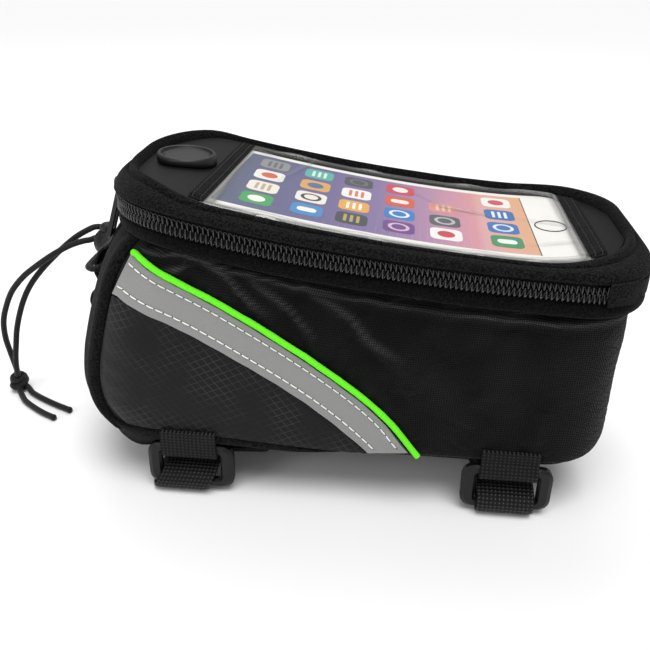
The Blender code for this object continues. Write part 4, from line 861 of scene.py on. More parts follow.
def fold_ridges(x, drop):
    """Height of the ridges at a place and their sharpness, which sets the painted highlight on
    their crests; both from 0 up.
    """
    height, painted_fold_light = 0.0, 0.0
    for knots, width, size in FOLDS:
        low, high = knots[0][0], knots[-1][0]
        ends = smooth(low - 3 * mm, low + 5 * mm, x) * (1 - smooth(high - 9 * mm, high, x))
        if ends <= 0.0:
            continue
        off = (drop - along(knots, x)) / (width * mm)
        shape = math.exp(-off * off) - 0.7 * math.exp(-(off - 1.9) ** 2)
        height += size * ends * shape
        # Painted highlight along the ridge's crest
        painted_fold_light += ends * math.exp(-(2.2 * off) ** 2) / width
    return height, painted_fold_light


def cloth_noise(x, y, z):
    """Slow and quicker irregularity of the cloth, different on each side."""
    flip = 17.0 if y > 0 else 0.0
    return (noise.noise(Vector((x * 28, z * 34, flip))),
            noise.noise(Vector((x * 60, z * 60, 5.0 + flip))))


def cloth_offset(point, depth):
    """How far the body's cloth stands out from its plain wall, in metres."""
    x, y, z = point
    drop = zip_height(x) - z
    side = smooth(20 * mm, 38 * mm, abs(y))
    slow, warp = cloth_noise(x, y, z)
    value = 0.45 * slow
    # Slanting waves under the front half of the mouth
    fold = smooth(-78 * mm, -60 * mm, x) * (1 - smooth(-25 * mm, 25 * mm, x))
    fold *= smooth(7 * mm, 13 * mm, drop) * (1 - smooth(24 * mm, 42 * mm, drop))
    phase = (x * 0.62 + drop * 0.85) / (9.5 * mm) + 0.75 * warp
    value += 0.35 * fold * math.sin(2 * math.pi * phase)
    value += fold_ridges(x + 3 * mm * warp, drop + 1.5 * mm * slow)[0] * side
    # Ridge under the welt, with a hollow above and below it and gathers across it
    rim = along(RIM_LINE, x)
    value += 0.85 * bump(rim, 1.1 * mm, drop)
    value -= 0.9 * (1 - smooth(rim - 2.6 * mm, rim - 0.8 * mm, drop))
    value -= 0.5 * bump(rim + 3.2 * mm, 2.0 * mm, drop) * side
    ripple = math.sin(x / (2.7 * mm) + 3 * slow) * math.exp(-max(drop - 9 * mm, 0) / (7 * mm))
    value += 0.16 * ripple * side
    # Puckers where the piping is sewn on
    if x < PIPING_LINE[-1][0] + 6 * mm:
        above = z - along(PIPING_LINE, x)
        pucker = math.sin((x - z) / (1.9 * mm) + 4 * warp)
        value += 0.22 * pucker * math.exp(-abs(above) / (4 * mm)) * side
        value += 0.5 * bump(6 * mm, 5 * mm, above) * side
    # Level waves round the rear corners
    rear = smooth(70 * mm, 88 * mm, x)
    value += 0.2 * rear * math.sin(z / (9.0 * mm) + 2 * slow) * smooth(10 * mm, 25 * mm, drop)
    # Flat under the sewn panels and under the welt
    cover = panel_cover(x, z)
    value = value * depth
    under = smooth(-8.0 * mm, -9.4 * mm, -drop)
    held = min(value, 0.1) * cover + value * (1 - cover)
    return mm * (held * under - 0.25 * (1 - under))


def outward(ring):
    """Directions out of a ring of points, seen from above."""
    count = len(ring)
    result = []
    for i in range(count):
        ahead = ring[(i + 1) % count] - ring[i - 1]
        result.append(Vector((ahead.y, -ahead.x, 0.0)).normalized())
    return result


SETTLE_FRAMES = 14
SETTLE_REACH = 1.7 * mm         # the farthest that the simulation moves a point


def settle_cloth(rings, depth):
    """Let the body cloth buckle between its seams, as a short cloth simulation."""
    bm = bmesh.new()
    rows = [[bm.verts.new(p) for p in ring] for ring in rings]
    count = len(rows[0])
    for low, high in zip(rows, rows[1:]):
        for j in range(count):
            bm.faces.new((low[j], low[(j + 1) % count], high[(j + 1) % count], high[j]))
    cloth = add_mesh("settling", bm)
    scene = bpy.context.scene
    seams = cloth.vertex_groups.new(name="seams")   # weight 1 holds the cloth still
    for vert in cloth.data.vertices:
        x, _, z = vert.co
        drop = zip_height(x) - z
        held = max(1 - smooth(8.5 * mm, 10.5 * mm, drop), panel_cover(x, z),
                   1 - smooth(BODY_BOTTOM + 2 * mm, BODY_BOTTOM + 7 * mm, z),
                   0.9 * smooth(66 * mm, 80 * mm, x))
        seams.add([vert.index], held, "REPLACE")
    modifier = cloth.modifiers.new("Cloth", "CLOTH")
    settings = modifier.settings
    settings.quality = 4
    settings.mass = 0.15
    settings.tension_stiffness = 12.0
    settings.compression_stiffness = 12.0
    settings.bending_stiffness = 0.06
    settings.shrink_min = -0.03 * depth
    settings.use_pressure = True
    settings.uniform_pressure_force = 1.2
    settings.vertex_group_mass = "seams"
    settings.effector_weights.gravity = 0.0
    for index in range(1, SETTLE_FRAMES + 1):
        scene.frame_set(index)
    moved = cloth.evaluated_get(bpy.context.evaluated_depsgraph_get()).to_mesh()
    result, index = [], 0
    for ring in rings:
        row = []
        for point in ring:
            step = moved.vertices[index].co - point
            reach = step.length
            if reach > 1e-9:
                step *= SETTLE_REACH * math.tanh(reach / SETTLE_REACH) / reach
            row.append(point + step)
            index += 1
        result.append(row)
    bpy.data.objects.remove(cloth)
    scene.frame_set(1)
    return result


def paint_fold_light(obj):
    """Attribute of painted light: highlights on the fold ridges and along the ridge under the
    welt, shade in the gap above that ridge.
    """
    mesh = obj.data
    layer = mesh.attributes.new("painted_fold_light", "FLOAT", "POINT")
    for vert, mark in zip(mesh.vertices, layer.data):
        x, y, z = vert.co
        drop = zip_height(x) - z
        slow, warp = cloth_noise(x, y, z)
        ridge = fold_ridges(x + 3 * mm * warp, drop + 1.5 * mm * slow)[1]
        rim = along(RIM_LINE, x)
        # Painted highlight along the ridge under the welt
        line = bump(rim, 0.5 * mm, drop) * (0.8 + 0.8 * warp)
        bare = 1 - panel_cover(x, z)
        # Painted shade in the gap between the welt and the cloth
        painted_gap_shade = 1 - smooth(rim - 2.4 * mm, rim - 0.9 * mm, drop)
        mark.value = max(-0.2, min(1.0, (1.7 * ridge + line) * bare) - 0.2 * painted_gap_shade)


FOOT_ROLL = 1.4 * mm            # how far the cloth rolls in at its foot
REAR_SMOOTHING = 14             # passes that even out the rings round the rear corners


def evened(ring):
    """Ring of points with its rear corners evened out by one pass."""
    neighbours = zip(ring[-1:] + ring, ring, ring[1:] + ring[:1])
    return [point.lerp((before + after) / 2, 0.5 * smooth(58 * mm, 74 * mm, point.x))
            for before, point, after in neighbours]


def build_body_cloth(sizes, mats):
    """Woven body wall: puckered under the welt, folded at the front, rolled at its foot."""
    rim = -(COIL_ROW_HEIGHT + 1.6 * mm)
    rings = []
    for share in [0.0, 0.006, 0.014, 0.024] + span(0.036, 1.0, 76):
        plain = body_ring(0.0, share, BODY_BOTTOM, rim)
        roll = FOOT_ROLL * (1 - smooth(0.0, 0.03, share)) ** 2
        ring = [point + out * (cloth_offset(point, sizes.fold_depth) - roll)
                for point, out in zip(plain, outward(plain))]
        for _ in range(REAR_SMOOTHING):
            ring = evened(ring)
        rings.append(ring)
    rings = settle_cloth(rings, sizes.fold_depth)
    inner = [body_ring(-WALL, share, BODY_BOTTOM + WALL, rim)
             for share in (1.0, 0.7, 0.4, 0.1, 0.0)]
    uv = ring_uv(rings + inner)
    uv[:len(rings)] = ring_uv(rings)
    bm = loft(rings + inner, uv)
    body = finish_piece("body_cloth", bm, mats["woven"], "bag", ["body_shell"])
    # Painted highlights and shade of the folds, kept in an attribute
    paint_fold_light(body)


def gusset_grid(offset_at, rows, columns):
    """Points of the front wall's skin from the near seam round to the far seam."""
    grid, uv = [], []
    for share in span(0.0, 1.0, rows):
        z = lerp(BODY_BOTTOM + 1.5 * mm, zip_height(LID_FRONT) + BAND_FOOT - GAP, share)
        front = front_wall(z)
        radius, half = BODY_CORNER_RADIUS, BODY_HALF_WIDTH
        last = math.acos((radius - seam_setback(z)) / radius) - 0.2 * mm / radius
        flat = half - radius
        total = radius * last + flat
        row, marks = [], []
        for c in span(-1.0, 1.0, columns):
            reach = abs(c) * total
            offset = offset_at(total - reach, z)
            if reach <= flat:
                x, y = front - offset, reach
            else:
                angle = (reach - flat) / radius
                x = front + radius - (radius + offset) * math.cos(angle)
                y = flat + (radius + offset) * math.sin(angle)
            row.append(Vector((x, y if c > 0 else -y, z)))
            marks.append((c * total, z))
        grid.append(row)
        uv.append(marks)
    return grid, uv


def build_front_cloth(sizes, mats):
    """Napped front gusset with a padded roll beside each side seam."""
    def outer(from_seam, z):
        roll = 1.5 * bump(3.4 * mm, 3.0 * mm, from_seam)
        edge = smooth(-0.5 * mm, 1.6 * mm, from_seam)
        tuck = 0.25 * noise.noise(Vector((from_seam * 90, z * 70, 2.0)))
        return SKIN_GAP + mm * (0.15 + edge * (1.0 + roll + tuck))

    front, uv = gusset_grid(outer, 70, 110)
    back, _ = gusset_grid(lambda s, z: SKIN_GAP, 70, 110)
    pad = finish_piece("front_gusset_cloth", skin(front, back, uv), mats["nap"], "bag",
                       ["front_gusset"])


def build_welt(sizes, mats):
    """Padded welt round the mouth, under the zip."""
    inner = BODY_HALF_WIDTH + GAP - LID_HALF_WIDTH
    outer = inner + BAND_THICKNESS
    middle = (BAND_FOOT + BAND_TOP) / 2
    half = (BAND_TOP - BAND_FOOT) / 2
    swell = 1.5 * mm
    profile = [(inner, BAND_FOOT + 0.3 * mm)]
    for angle in span(-90.0, 90.0, 13):
        turn = math.radians(angle)
        profile.append((outer - swell + swell * math.cos(turn) ** 0.8,
                        middle + half * math.sin(turn)))
    profile.append((inner, BAND_TOP - 0.3 * mm))
    rings = []
    for index, (offset, drop) in enumerate(profile):
        ring = []
        for point in lid_ring(offset, drop):
            wave = 0.25 * mm * noise.noise(point * 60.0)
            if 0 < index < len(profile) - 1 and offset > inner + 1 * mm:
                point.z += wave
            ring.append(point)
        rings.append(ring)
    bm = loft(rings, ring_uv(rings, closed=True), closed=True)
    # The welt takes the darker nap: painted shade under the chain
    welt = finish_piece("mouth_welt", bm, mats["band"], "bag", ["mouth_band"])


# Base

BASE_WRAP = 4.6 * mm            # how much higher the base's seam is at the front corners
BASE_HEM = 0.9 * mm             # upper edge, over this share of the way down:
HEM_SHARE = 0.3
BASE_FOOT = 18.6 * mm
BASE_CORNER_FOOT = 15.8 * mm


def base_edge(x):
    """Upper seam of the base along the sides: higher at the front corners."""
    return BODY_BOTTOM + BASE_WRAP * (1 - smooth(-82 * mm, 8 * mm, x)) + 0.5 * mm


def base_fullness(x):
    """1 where the base stands out in front, 0 where it is tucked under the rear."""
    return 1 - smooth(-20 * mm, 16 * mm, x)


def base_height(x, share):
    """Height of the base at a share of the way from its seam down to its foot."""
    hem = (base_edge(x) if x < 10 * mm else BODY_BOTTOM - GAP) - BASE_HEM
    if share < HEM_SHARE:
        z = hem + BASE_HEM * (1 - share / HEM_SHARE)
    else:
        foot = lerp(BASE_CORNER_FOOT, BASE_FOOT, smooth(-76 * mm, -62 * mm, x))
        z = lerp(hem, foot, (share - HEM_SHARE) / (1 - HEM_SHARE))
    return min(z, lerp(BODY_BOTTOM - GAP, z, base_fullness(x)))


def base_offset(x, share):
    """How far the base stands out from the body's foot, with its lower edge curled in."""
    corner = 1 - smooth(-80 * mm, -58 * mm, x)
    tip = 1 - smooth(-92 * mm, -80 * mm, x)
    belly = 0.45 + 0.75 * math.sin(math.pi * min(1.0, share * 1.25)) ** 0.8
    belly += 0.9 * corner * math.sin(math.pi * min(1.0, share * 1.1))
    belly += 1.3 * tip * smooth(0.1, 0.5, share)
    curl = (5.5 - 4.2 * corner) * smooth(0.35, 1.0, share) ** 2
    return mm * (lerp(-3.4, belly, base_fullness(x)) - curl)


def base_point(x, y, z, offset):
    """Point of the body's foot moved out by an offset, round the corners' own middles."""
    radius, depth = BODY_CORNER_RADIUS, abs(y)
    rear_middle = rear_wall(BODY_BOTTOM) - BODY_REAR_RADIUS
    past = x - (front_wall(BODY_BOTTOM) + radius)
    if past < 0.0:
        front = front_wall(max(z, BODY_BOTTOM))
        beside = max(depth - (BODY_HALF_WIDTH - radius), 0.0)
        reach = math.hypot(past, beside)
        if beside:
            x = front + radius + past / reach * (radius + offset)
            depth = BODY_HALF_WIDTH - radius + beside / reach * (radius + offset)
        else:
            x = front - offset
    elif x > rear_middle:
        past, beside = x - rear_middle, max(depth - (BODY_HALF_WIDTH - BODY_REAR_RADIUS), 0.0)
        reach = math.hypot(past, beside)
        x += offset * past / reach
        depth += offset * beside / reach
    else:
        depth += offset
    return Vector((x, math.copysign(depth, y) if abs(y) > 1e-9 else 0.0, z))


def build_base(sizes, mats):
    """Napped base: it wraps the lower front corners and runs out under the rear."""
    plain = plan_outline(front_wall(BODY_BOTTOM), rear_wall(BODY_BOTTOM), BODY_HALF_WIDTH,
                         BODY_CORNER_RADIUS, BODY_REAR_RADIUS)
    rings = [[base_point(x, y, base_height(x, share), base_offset(x, share)) for x, y in plain]
             for share in span(0.0, 1.0, 15)]
    finish_piece("base_cloth", loft(rings), mats["nap"], "bag", ["base_gusset"])


# Side panels

def side_sheet(place, columns, rows, thickness, lift, sign):
    """Skin on one side wall; place gives (x, z) for shares along and up."""
    front, back, uv = [], [], []
    for u in [share ** 1.5 for share in span(0.0, 1.0, columns)]:
        row, under, marks = [], [], []
        for v in span(0.0, 1.0, rows):
            x, z = place(u, v)
            rise = lift(u, v, x, z)
            row.append(Vector((x, -sign * side_half(x, z, SKIN_GAP + thickness + rise), z)))
            under.append(Vector((x, -sign * side_half(x, z, SKIN_GAP), z)))
            marks.append((x, z))
        front.append(row)
        back.append(under)
        uv.append(marks)
    return skin(front, back, uv)


def edge_share(u, v, reach):
    """0 at the rim of a sheet, 1 away from it."""
    near = min(u, 1 - u, v, 1 - v) / reach
    return smooth(0.0, 1.0, near)


SIDES = (("near", 1.0), ("far", -1.0))


def build_ripstop(sizes, mats):
    """Ripstop lower panels, puckered along their seams."""
    top = along(TAPE_LINE, seam_x(TAPE_LINE[0][1])) - 0.6 * mm

    def place(u, v):
        z = lerp(SIDE_PANEL_FOOT, top, v)
        x = lerp(seam_x(z), inverse(TAPE_LINE, z) - GAP, u)
        foot = base_edge(x) + 0.3 * mm
        return x, lerp(foot, top, (z - SIDE_PANEL_FOOT) / (top - SIDE_PANEL_FOOT))

    for side, sign in SIDES:
        def lift(u, v, x, z):
            slow = noise.noise(Vector((x * 30, z * 30, 4.0 + sign)))
            swell = 0.9 * math.sin(math.pi * min(1.0, v * 1.05)) * math.sin(math.pi * u ** 0.7)
            pucker = 0.16 * math.sin(z / (1.6 * mm) + 5 * slow) * bump(0.0, 0.12, u)
            pucker += 0.16 * math.sin(x / (1.9 * mm) + 5 * slow) * bump(0.0, 0.08, v)
            crease = 0.3 * math.sin((x + 0.8 * z) / (4.5 * mm) + 4 * slow)
            crease *= bump(0.75, 0.25, v) * bump(0.35, 0.3, u)
            hold = 0.35 + 0.65 * edge_share(u, v, 0.05)
            return mm * ((0.25 * slow + swell + pucker + crease * 0.4) * hold
                         - 0.3 * (1 - edge_share(u, v, 0.04)))

        bm = side_sheet(place, 90, 70, SKIN, lift, sign)
        finish_piece("ripstop_cloth_" + side, bm, mats["ripstop"], "bag",
                     ["ripstop_panel_" + side])


THREAD_ROWS = (0.24, 0.83)      # shares of the tape's width at which it is sewn


def tape_place(u, v):
    """Place on the tape for a share along it and a share up from its lower edge."""
    drop = PIPING_RADIUS + 0.5 * mm
    low_x = lerp(seam_x(TAPE_LINE[0][1]), TAPE_LINE[-1][0], u)
    high_x = lerp(seam_x(PIPING_LINE[0][1]), PIPING_LINE[-1][0] - 2.2 * drop, u)
    low = Vector((low_x, along(TAPE_LINE, low_x) + GAP))
    high = Vector((high_x, along(PIPING_LINE, high_x + 1.2 * drop) - 0.6 * drop))
    spot = low.lerp(high, v)
    return spot.x, max(spot.y, SIDE_PANEL_FOOT)


def tape_lift(u, v, x, z):
    """Height of the tape's surface: sunk along its threads, folded at its rear end."""
    slow = noise.noise(Vector((x * 40, z * 40, 9.0)))
    near_row = sum(bump(row, 0.05, v) for row in THREAD_ROWS)
    wave = 0.1 * math.sin(x / (1.5 * mm)) * (bump(1.0, 0.1, v) + bump(0.0, 0.08, v))
    fold = 0.8 * bump(0.965, 0.03, u) * smooth(0.45, 0.8, v)
    return mm * (0.16 * slow - 0.12 * near_row + wave + fold + 0.12 * math.sin(math.pi * v))


def build_tapes(sizes, mats):
    """Grey reflective tapes with two rows of thread, painted shade along their needle lines, and
    the lime piping above them.
    """
    for side, sign in SIDES:
        bm = side_sheet(tape_place, 170, 30, SKIN, tape_lift, sign)
        finish_piece("tape_cloth_" + side, bm, mats["tape"], "bag",
                     ["reflective_tape_" + side])
        bm = bmesh.new()
        needle_shade = bmesh.new()
        for row in THREAD_ROWS:
            route, normals = [], []
            for u in span(0.012, 0.985, 240):
                x, z = tape_place(u, row)
                out = SKIN_GAP + SKIN + tape_lift(u, row, x, z)
                route.append(Vector((x, -sign * side_half(x, z, out), z)))
                lean = (side_half(x - mm, z, 0.0) - side_half(x + mm, z, 0.0)) / (2 * mm)
                normals.append(Vector((lean, -sign, 0.0)).normalized())
            add_stitches(bm, route, normals, sizes.stitch_length, sizes.stitch_pitch,
                         0.5 * mm, 0.08 * mm)
            # A thin black tube along each row of thread: painted shade of the sunk needle line
            # between the stitches
            add_tube(needle_shade, [p + 0.03 * mm * n for p, n in zip(route, normals)], 0.15 * mm, 5)
        finish_piece("tape_stitches_" + side, bm, mats["thread"], "bag", [])
        finish_piece("tape_needle_shade_" + side, needle_shade, mats["black thread"], "bag", [])
        points = []
        for x in span(seam_x(PIPING_LINE[0][1]) + PIPING_RADIUS, PIPING_LINE[-1][0], 190):
            z = along(PIPING_LINE, x)
            sway = 0.22 * mm * noise.noise(Vector((x * 130, 3.0, sign)))
            points.append(Vector((x, -sign * side_half(x, z, SKIN_GAP + PIPING_RADIUS),
                                  z + sway)))

        def girth(share):
            """Radius of the piping, a little uneven along it."""
            lump = 0.09 * noise.noise(Vector((share * 26, sign, 1.0)))
            lump += 0.04 * noise.noise(Vector((share * 90, sign, 7.0)))
            return PIPING_RADIUS * (1.02 + lump)

        bm = add_tube(bmesh.new(), points, girth, 12)
        finish_piece("piping_" + side, bm, mats["piping"], "bag", ["green_piping_" + side],
                     80.0)


# Zip

def zip_path(spacing):
    """Points and headings along the chain, from the near rear end round to the far."""
    ring = plan_outline(LID_FRONT, LID_REAR, LID_HALF_WIDTH, LID_FRONT_RADIUS,
                        LID_REAR_RADIUS, 24, 30, 8)
    reach = ZIP_REAR_END - (LID_REAR - LID_REAR_RADIUS)
    start = (ZIP_REAR_END, LID_HALF_WIDTH - LID_REAR_RADIUS
             + math.sqrt(LID_REAR_RADIUS ** 2 - reach ** 2))
    far = [p for p in ring[:len(ring) // 2 + 1] if p[1] >= 0.0 and p[0] < ZIP_REAR_END - 1e-6]
    half = [start] + far
    line = [Vector((x, -y, 0.0)) for x, y in half]
    line += [Vector((x, y, 0.0)) for x, y in half[::-1]]
    length = route_length(line)
    count = int(round(length / spacing))
    path, walked, target = [], 0.0, 0.0
    for p, q in zip(line, line[1:]):
        step = (q - p).length
        while step > 1e-9 and walked + step >= target - 1e-9 and len(path) < count:
            path.append((p.lerp(q, (target - walked) / step), (q - p).normalized()))
            target += length / count
        walked += step
    path.append((line[-1], (line[-1] - line[-2]).normalized()))
    return path


def neck_share(y):
    """How far the rows part round the sliders' necks, from 0 to 1."""
    return max(0.0, min(1.0, (10.4 * mm - abs(y)) / (2.0 * mm)))


COIL_WIRE = 0.3 * mm            # radius of the nylon wire
LOOP_POINTS = 9                 # points along each loop of it


def build_coils(sizes, mats):
    """Both rows of the chain: a nylon wire wound in upright, interlocking loops."""
    for name, sign, node in (("coil_lower", -1.0, "zip_coil_lower"),
                             ("coil_upper", 1.0, "zip_coil_upper")):
        body = "bag" if sign < 0 else "lid"
        route, heads = [], []
        shift = 0.0 if sign < 0 else 0.5
        for index, (place, heading) in enumerate(zip_path(sizes.coil_pitch / LOOP_POINTS)):
            inward = Vector((-heading.y, heading.x, 0.0))
            if inward.dot(place) > 0.0:
                inward = -inward
            turn = (index / LOOP_POINTS + shift) % 1.0
            angle = 2 * math.pi * turn
            part = neck_share(place.y) * (place.x < 0.0) * 1.5 * mm
            low, high = part - 0.25 * mm, COIL_ROW_HEIGHT - 1.1 * COIL_WIRE
            rise = lerp(low, high, 0.5 - 0.5 * math.cos(angle))
            sink = COIL_THICKNESS * (0.44 + 0.29 * math.sin(angle + 0.4))
            ahead = sizes.coil_pitch * (smooth(0.08, 0.6, turn) - turn)
            route.append(place + heading * ahead + inward * sink
                         + Vector((0.0, 0.0, zip_height(place.x) + sign * rise)))
            heads.append(max(0.0, math.cos(angle)) ** 4)
        last = len(route) - 1

        def thickness(share):
            """Radius of the wire, thicker at each loop's head."""
            return COIL_WIRE * (1.0 + 0.25 * heads[min(int(round(share * last)), last)])

        bm = add_tube(bmesh.new(), route, thickness, 5)
        finish_piece(name, bm, mats["coil"], body, [node], 80.0)


# Lid

BORDER_SHAPE = (                # share of the way out from the panel against share of the rise
    (0.0, 1.0), (0.3, 1.03), (0.62, 0.95), (0.86, 0.74), (0.97, 0.45), (1.02, 0.2))
ROLL_SHARE = 0.38               # share of the border's width that the inner roll takes
ROLL_HEIGHT = 1.9 * mm
SEAM_SHARE = 0.42


def build_border(sizes, mats):
    """Padded lid border: a soft roll round the top panel, a seam, and a sloping band."""
    inner = -(COIL_THICKNESS + GAP + ZIP_TAPE)
    rings = [lid_ring(inner, BORDER_RISE), lid_ring(-0.8 * mm, BORDER_RISE),
             lid_ring(0.1 * mm, BORDER_RISE + 0.35 * mm),
             lid_ring(0.4 * mm, BORDER_RISE + 1.0 * mm)]
    shoulder = lid_ring(0.0, 0.0)
    edge = panel_ring(GAP, 0.0)
    for out in [1.02, 0.995] + span(0.97, 0.0, 34):
        ring = []
        height = along(BORDER_SHAPE, out)
        for low, high in zip(shoulder, edge):
            foot = zip_height(low.x) + BORDER_RISE + 0.9 * mm
            point = high.lerp(low, out)
            roll = ROLL_HEIGHT * math.sin(math.pi * min(out / ROLL_SHARE, 1.0))
            groove = 0.8 * mm * bump(SEAM_SHARE, 0.05, out)
            # Fuller at both ends, flatter beside the window on the near side
            puff = 1.9 * mm * (1 - smooth(-74 * mm, -48 * mm, point.x))
            puff += 1.6 * mm * smooth(62 * mm, 88 * mm, point.x)
            roll += puff * math.sin(math.pi * min(out, 1.0)) ** 0.7 if 0.0 < out < 1.0 else 0.0
            open_side = 1 - smooth(-44 * mm, -10 * mm, point.y)
            roll *= 1 - 0.72 * open_side * smooth(-66 * mm, -52 * mm, point.x)
            wave = 0.35 * mm * noise.noise(point * 45.0) * math.sin(math.pi * min(out, 1.0))
            point.z = lerp(foot, high.z, height) + roll - groove + wave
            if out < 0.04:
                point.z -= 0.6 * mm * (1 - out / 0.04)
            ring.append(point)
        rings.append(ring)
    rings.append(panel_ring(GAP, -BORDER_DEPTH))
    bm = loft(rings, ring_uv(rings, closed=True), closed=True)
    border = finish_piece("lid_border_pad", bm, mats["nap"], "lid", ["lid_border"])


def build_lid_panels(sizes, mats):
    """Smooth end panels and the trims that hold the window, with their stitches."""
    end_step = 0.6 * mm

    def soft(u, v, x, y):
        return 0.35 * mm * noise.noise(Vector((x * 35, y * 35, 2.0)))

    bm = slab(PANEL_FRONT + end_step, WINDOW_START - GAP, 0.0, WINDOW_SKEW, panel_half,
              PANEL_SURFACE, SMOOTH_PANEL, 50, 70, lambda *a: 0.2 * soft(*a))
    finish_piece("front_panel_cloth", bm, mats["smooth"], "lid", ["lid_front_panel"])
    bm = slab(WINDOW_END + GAP, PANEL_REAR - end_step, 0.0, 0.0, panel_half, PANEL_SURFACE,
              SMOOTH_PANEL, 30, 70, soft)
    finish_piece("rear_panel_cloth", bm, mats["smooth"], "lid", ["lid_rear_panel"])
    strip = PANEL_SURFACE + GAP + TRIM

    def half(x):
        return panel_half(x) - 0.8 * mm

    seams = bmesh.new()
    for name, x0, x1, skew, rows in (
            ("front", WINDOW_START - TRIM_WIDTH + 1.2 * mm, WINDOW_START + 1.2 * mm,
             WINDOW_SKEW, (0.25, 0.8)),
            ("rear", WINDOW_END - 1.2 * mm, WINDOW_END + TRIM_WIDTH, 0.0, (0.3, 0.72))):
        def lift(u, v, x, y, rows=rows):
            """Height of a trim's surface: thin edges, threads sunk in, ends dipped."""
            edge = -0.45 * (1 - smooth(0.0, 0.18, min(u, 1 - u)))
            dent = -0.22 * sum(bump(r, 0.07, u) for r in rows)
            edge -= 1.2 * smooth(0.94, 0.99, abs(v))
            return mm * (edge + dent + 0.2 * noise.noise(Vector((x * 120, y * 120, 1.0))))

        bm = slab(x0, x1, skew, skew, half, strip, TRIM, 14, 110, lift)
        finish_piece("window_trim_cloth_" + name, bm, mats["nap"], "lid",
                     ["window_trim_" + name])
        for row in rows:
            route = []
            for v in span(-0.985, 0.985, 160):
                x = lerp(x0, x1, row) + skew * v / 2
                y = half(x) * v
                route.append(Vector((x, y, lid_height(x) + strip + lift(row, v, x, y))))
            add_stitches(seams, route, [Vector((0.0, 0.0, 1.0))] * len(route), 2.2 * mm,
                         2.8 * mm, 0.4 * mm, -0.05 * mm)
    finish_piece("trim_stitches", seams, mats["black thread"], "lid", [])


def card_half(x):
    """Half width of the display card, round at its rear corners."""
    past = x - (CARD_REAR - CARD_CORNER_RADIUS)
    if past <= 0:
        return CARD_WIDTH / 2
    sag = math.sqrt(max(CARD_CORNER_RADIUS ** 2 - past ** 2, 0.0))
    return CARD_WIDTH / 2 - CARD_CORNER_RADIUS + sag


CARD_TOP = PANEL_SURFACE - FILM - GAP
CARD_FRONT = WINDOW_START + 0.8 * mm
CARD_WHITE = linear("#F0EEE8")
SCREEN_START = CARD_FRONT + 1.0 * mm
SCREEN_RIM = linear("#2A2426")
SCREEN_END = 63.4 * mm
SCREEN_HALF = 30.0 * mm
SCREEN_COLOURS = (
    (0.0, linear("#565E78")), (0.28, linear("#645F8C")), (0.5, linear("#83709E")),
    (0.68, linear("#B287A6")), (0.8, linear("#D292A0")), (0.9, linear("#DC9A84")),
    (1.0, linear("#DC9C62")))
ICON_ROWS = (-31.0 * mm, -14.0 * mm, 1.2 * mm, 17.2 * mm, 33.2 * mm, 53.6 * mm)
ICON_COLUMNS = (-20.2 * mm, -6.9 * mm, 7.0 * mm, 21.2 * mm)
ICON_SIZE = 10.8 * mm
ICON_RADIUS = 2.4 * mm
ICON_MARKS = {                  # width, height and corner radius of a mark, and its places
    "disc": (6.0, 6.0, 2.99, (0.0,)), "drop": (6.6, 4.0, 1.6, (0.0,)),
    "ring": (7.4, 7.4, 3.69, (0.0,)), "bars": (1.1, 6.6, 0.4, (-2.2, 0.0, 2.2))}
RING_HOLE = (5.0, 5.0, 2.49)
HOME_RING_X = 70.8 * mm
HOME_RING_Y = -1.2 * mm
HOME_RING_RADIUS = 5.45 * mm
ICONS = (                       # ground, mark and the mark's colour, row by row
    ("#3FA05A", "disc", "#F2F0E8"), ("#EDE6DA", "bars", "#B9A98C"),
    ("#EFEAE2", "disc", "#D0603F"), ("#8C8F8E", "bars", "#5D605F"),
    ("#3F87BE", "drop", "#F4EFE6"), ("#ECE7DE", "ring", "#33322F"),
    ("#D9A35A", "disc", "#4C6E93"), ("#57AFA0", "bars", "#D8ECE6"),
    ("#3A4046", "bars", "#B9A25F"), ("#E2A54A", "bars", "#F1EEE6"),
    ("#F0EEE8", "bars", "#D9705C"), ("#45474B", "ring", "#6C6F73"),
    ("#6B3F86", "ring", "#D9B6CF"), ("#2F77BE", "ring", "#DDEBF7"),
    ("#D2593F", "drop", "#F0E7DF"), ("#C94152", "disc", "#F0EAE6"),
    ("#F1EDEA", "disc", "#C8394A"), ("#54575A", "ring", "#B9BBBD"),
    ("#D58F8A", "bars", "#E9C6A8"), None,
    ("#3E8E5E", "drop", "#E9F3EA"), ("#3A6FB0", "ring", "#DCE6F2"),
    ("#2F6DAE", "bars", "#E6EEF6"), ("#EFECE8", "disc", "#C9505A"))


PRINT = 0.05 * mm               # thickness of a printed field


def add_patch(bm, layer, outline, colour_at, level):
    """Thin printed field on the card: a closed plate with its colour on the faces."""
    def on_card(x, y, drop):
        return Vector((x, y, lid_height(x) + CARD_TOP + level - drop))

    tops = [bm.verts.new(on_card(x, y, 0.0)) for x, y in outline]
    feet = [bm.verts.new(on_card(x, y, PRINT)) for x, y in outline]
    faces = [bm.faces.new(tops), bm.faces.new(feet[::-1])]
    count = len(outline)
    for i in range(count):
        j = (i + 1) % count
        faces.append(bm.faces.new((tops[i], feet[i], feet[j], tops[j])))
    for face in faces:
        for loop in face.loops:
            loop[layer] = (*colour_at(loop.vert.co.x, loop.vert.co.y), 1.0)


def rounded_outline(cx, cy, width, height, radius):
    """Rectangle with round corners, anticlockwise."""
    points = []
    for index in range(4):
        cu = (width / 2 - radius) * (1 if index in (0, 3) else -1)
        cv = (height / 2 - radius) * (1 if index in (0, 1) else -1)
        for angle in span(index * math.pi / 2, (index + 1) * math.pi / 2, 6):
            points.append((cx + cu + radius * math.cos(angle), cy + cv + radius * math.sin(angle)))
    return points


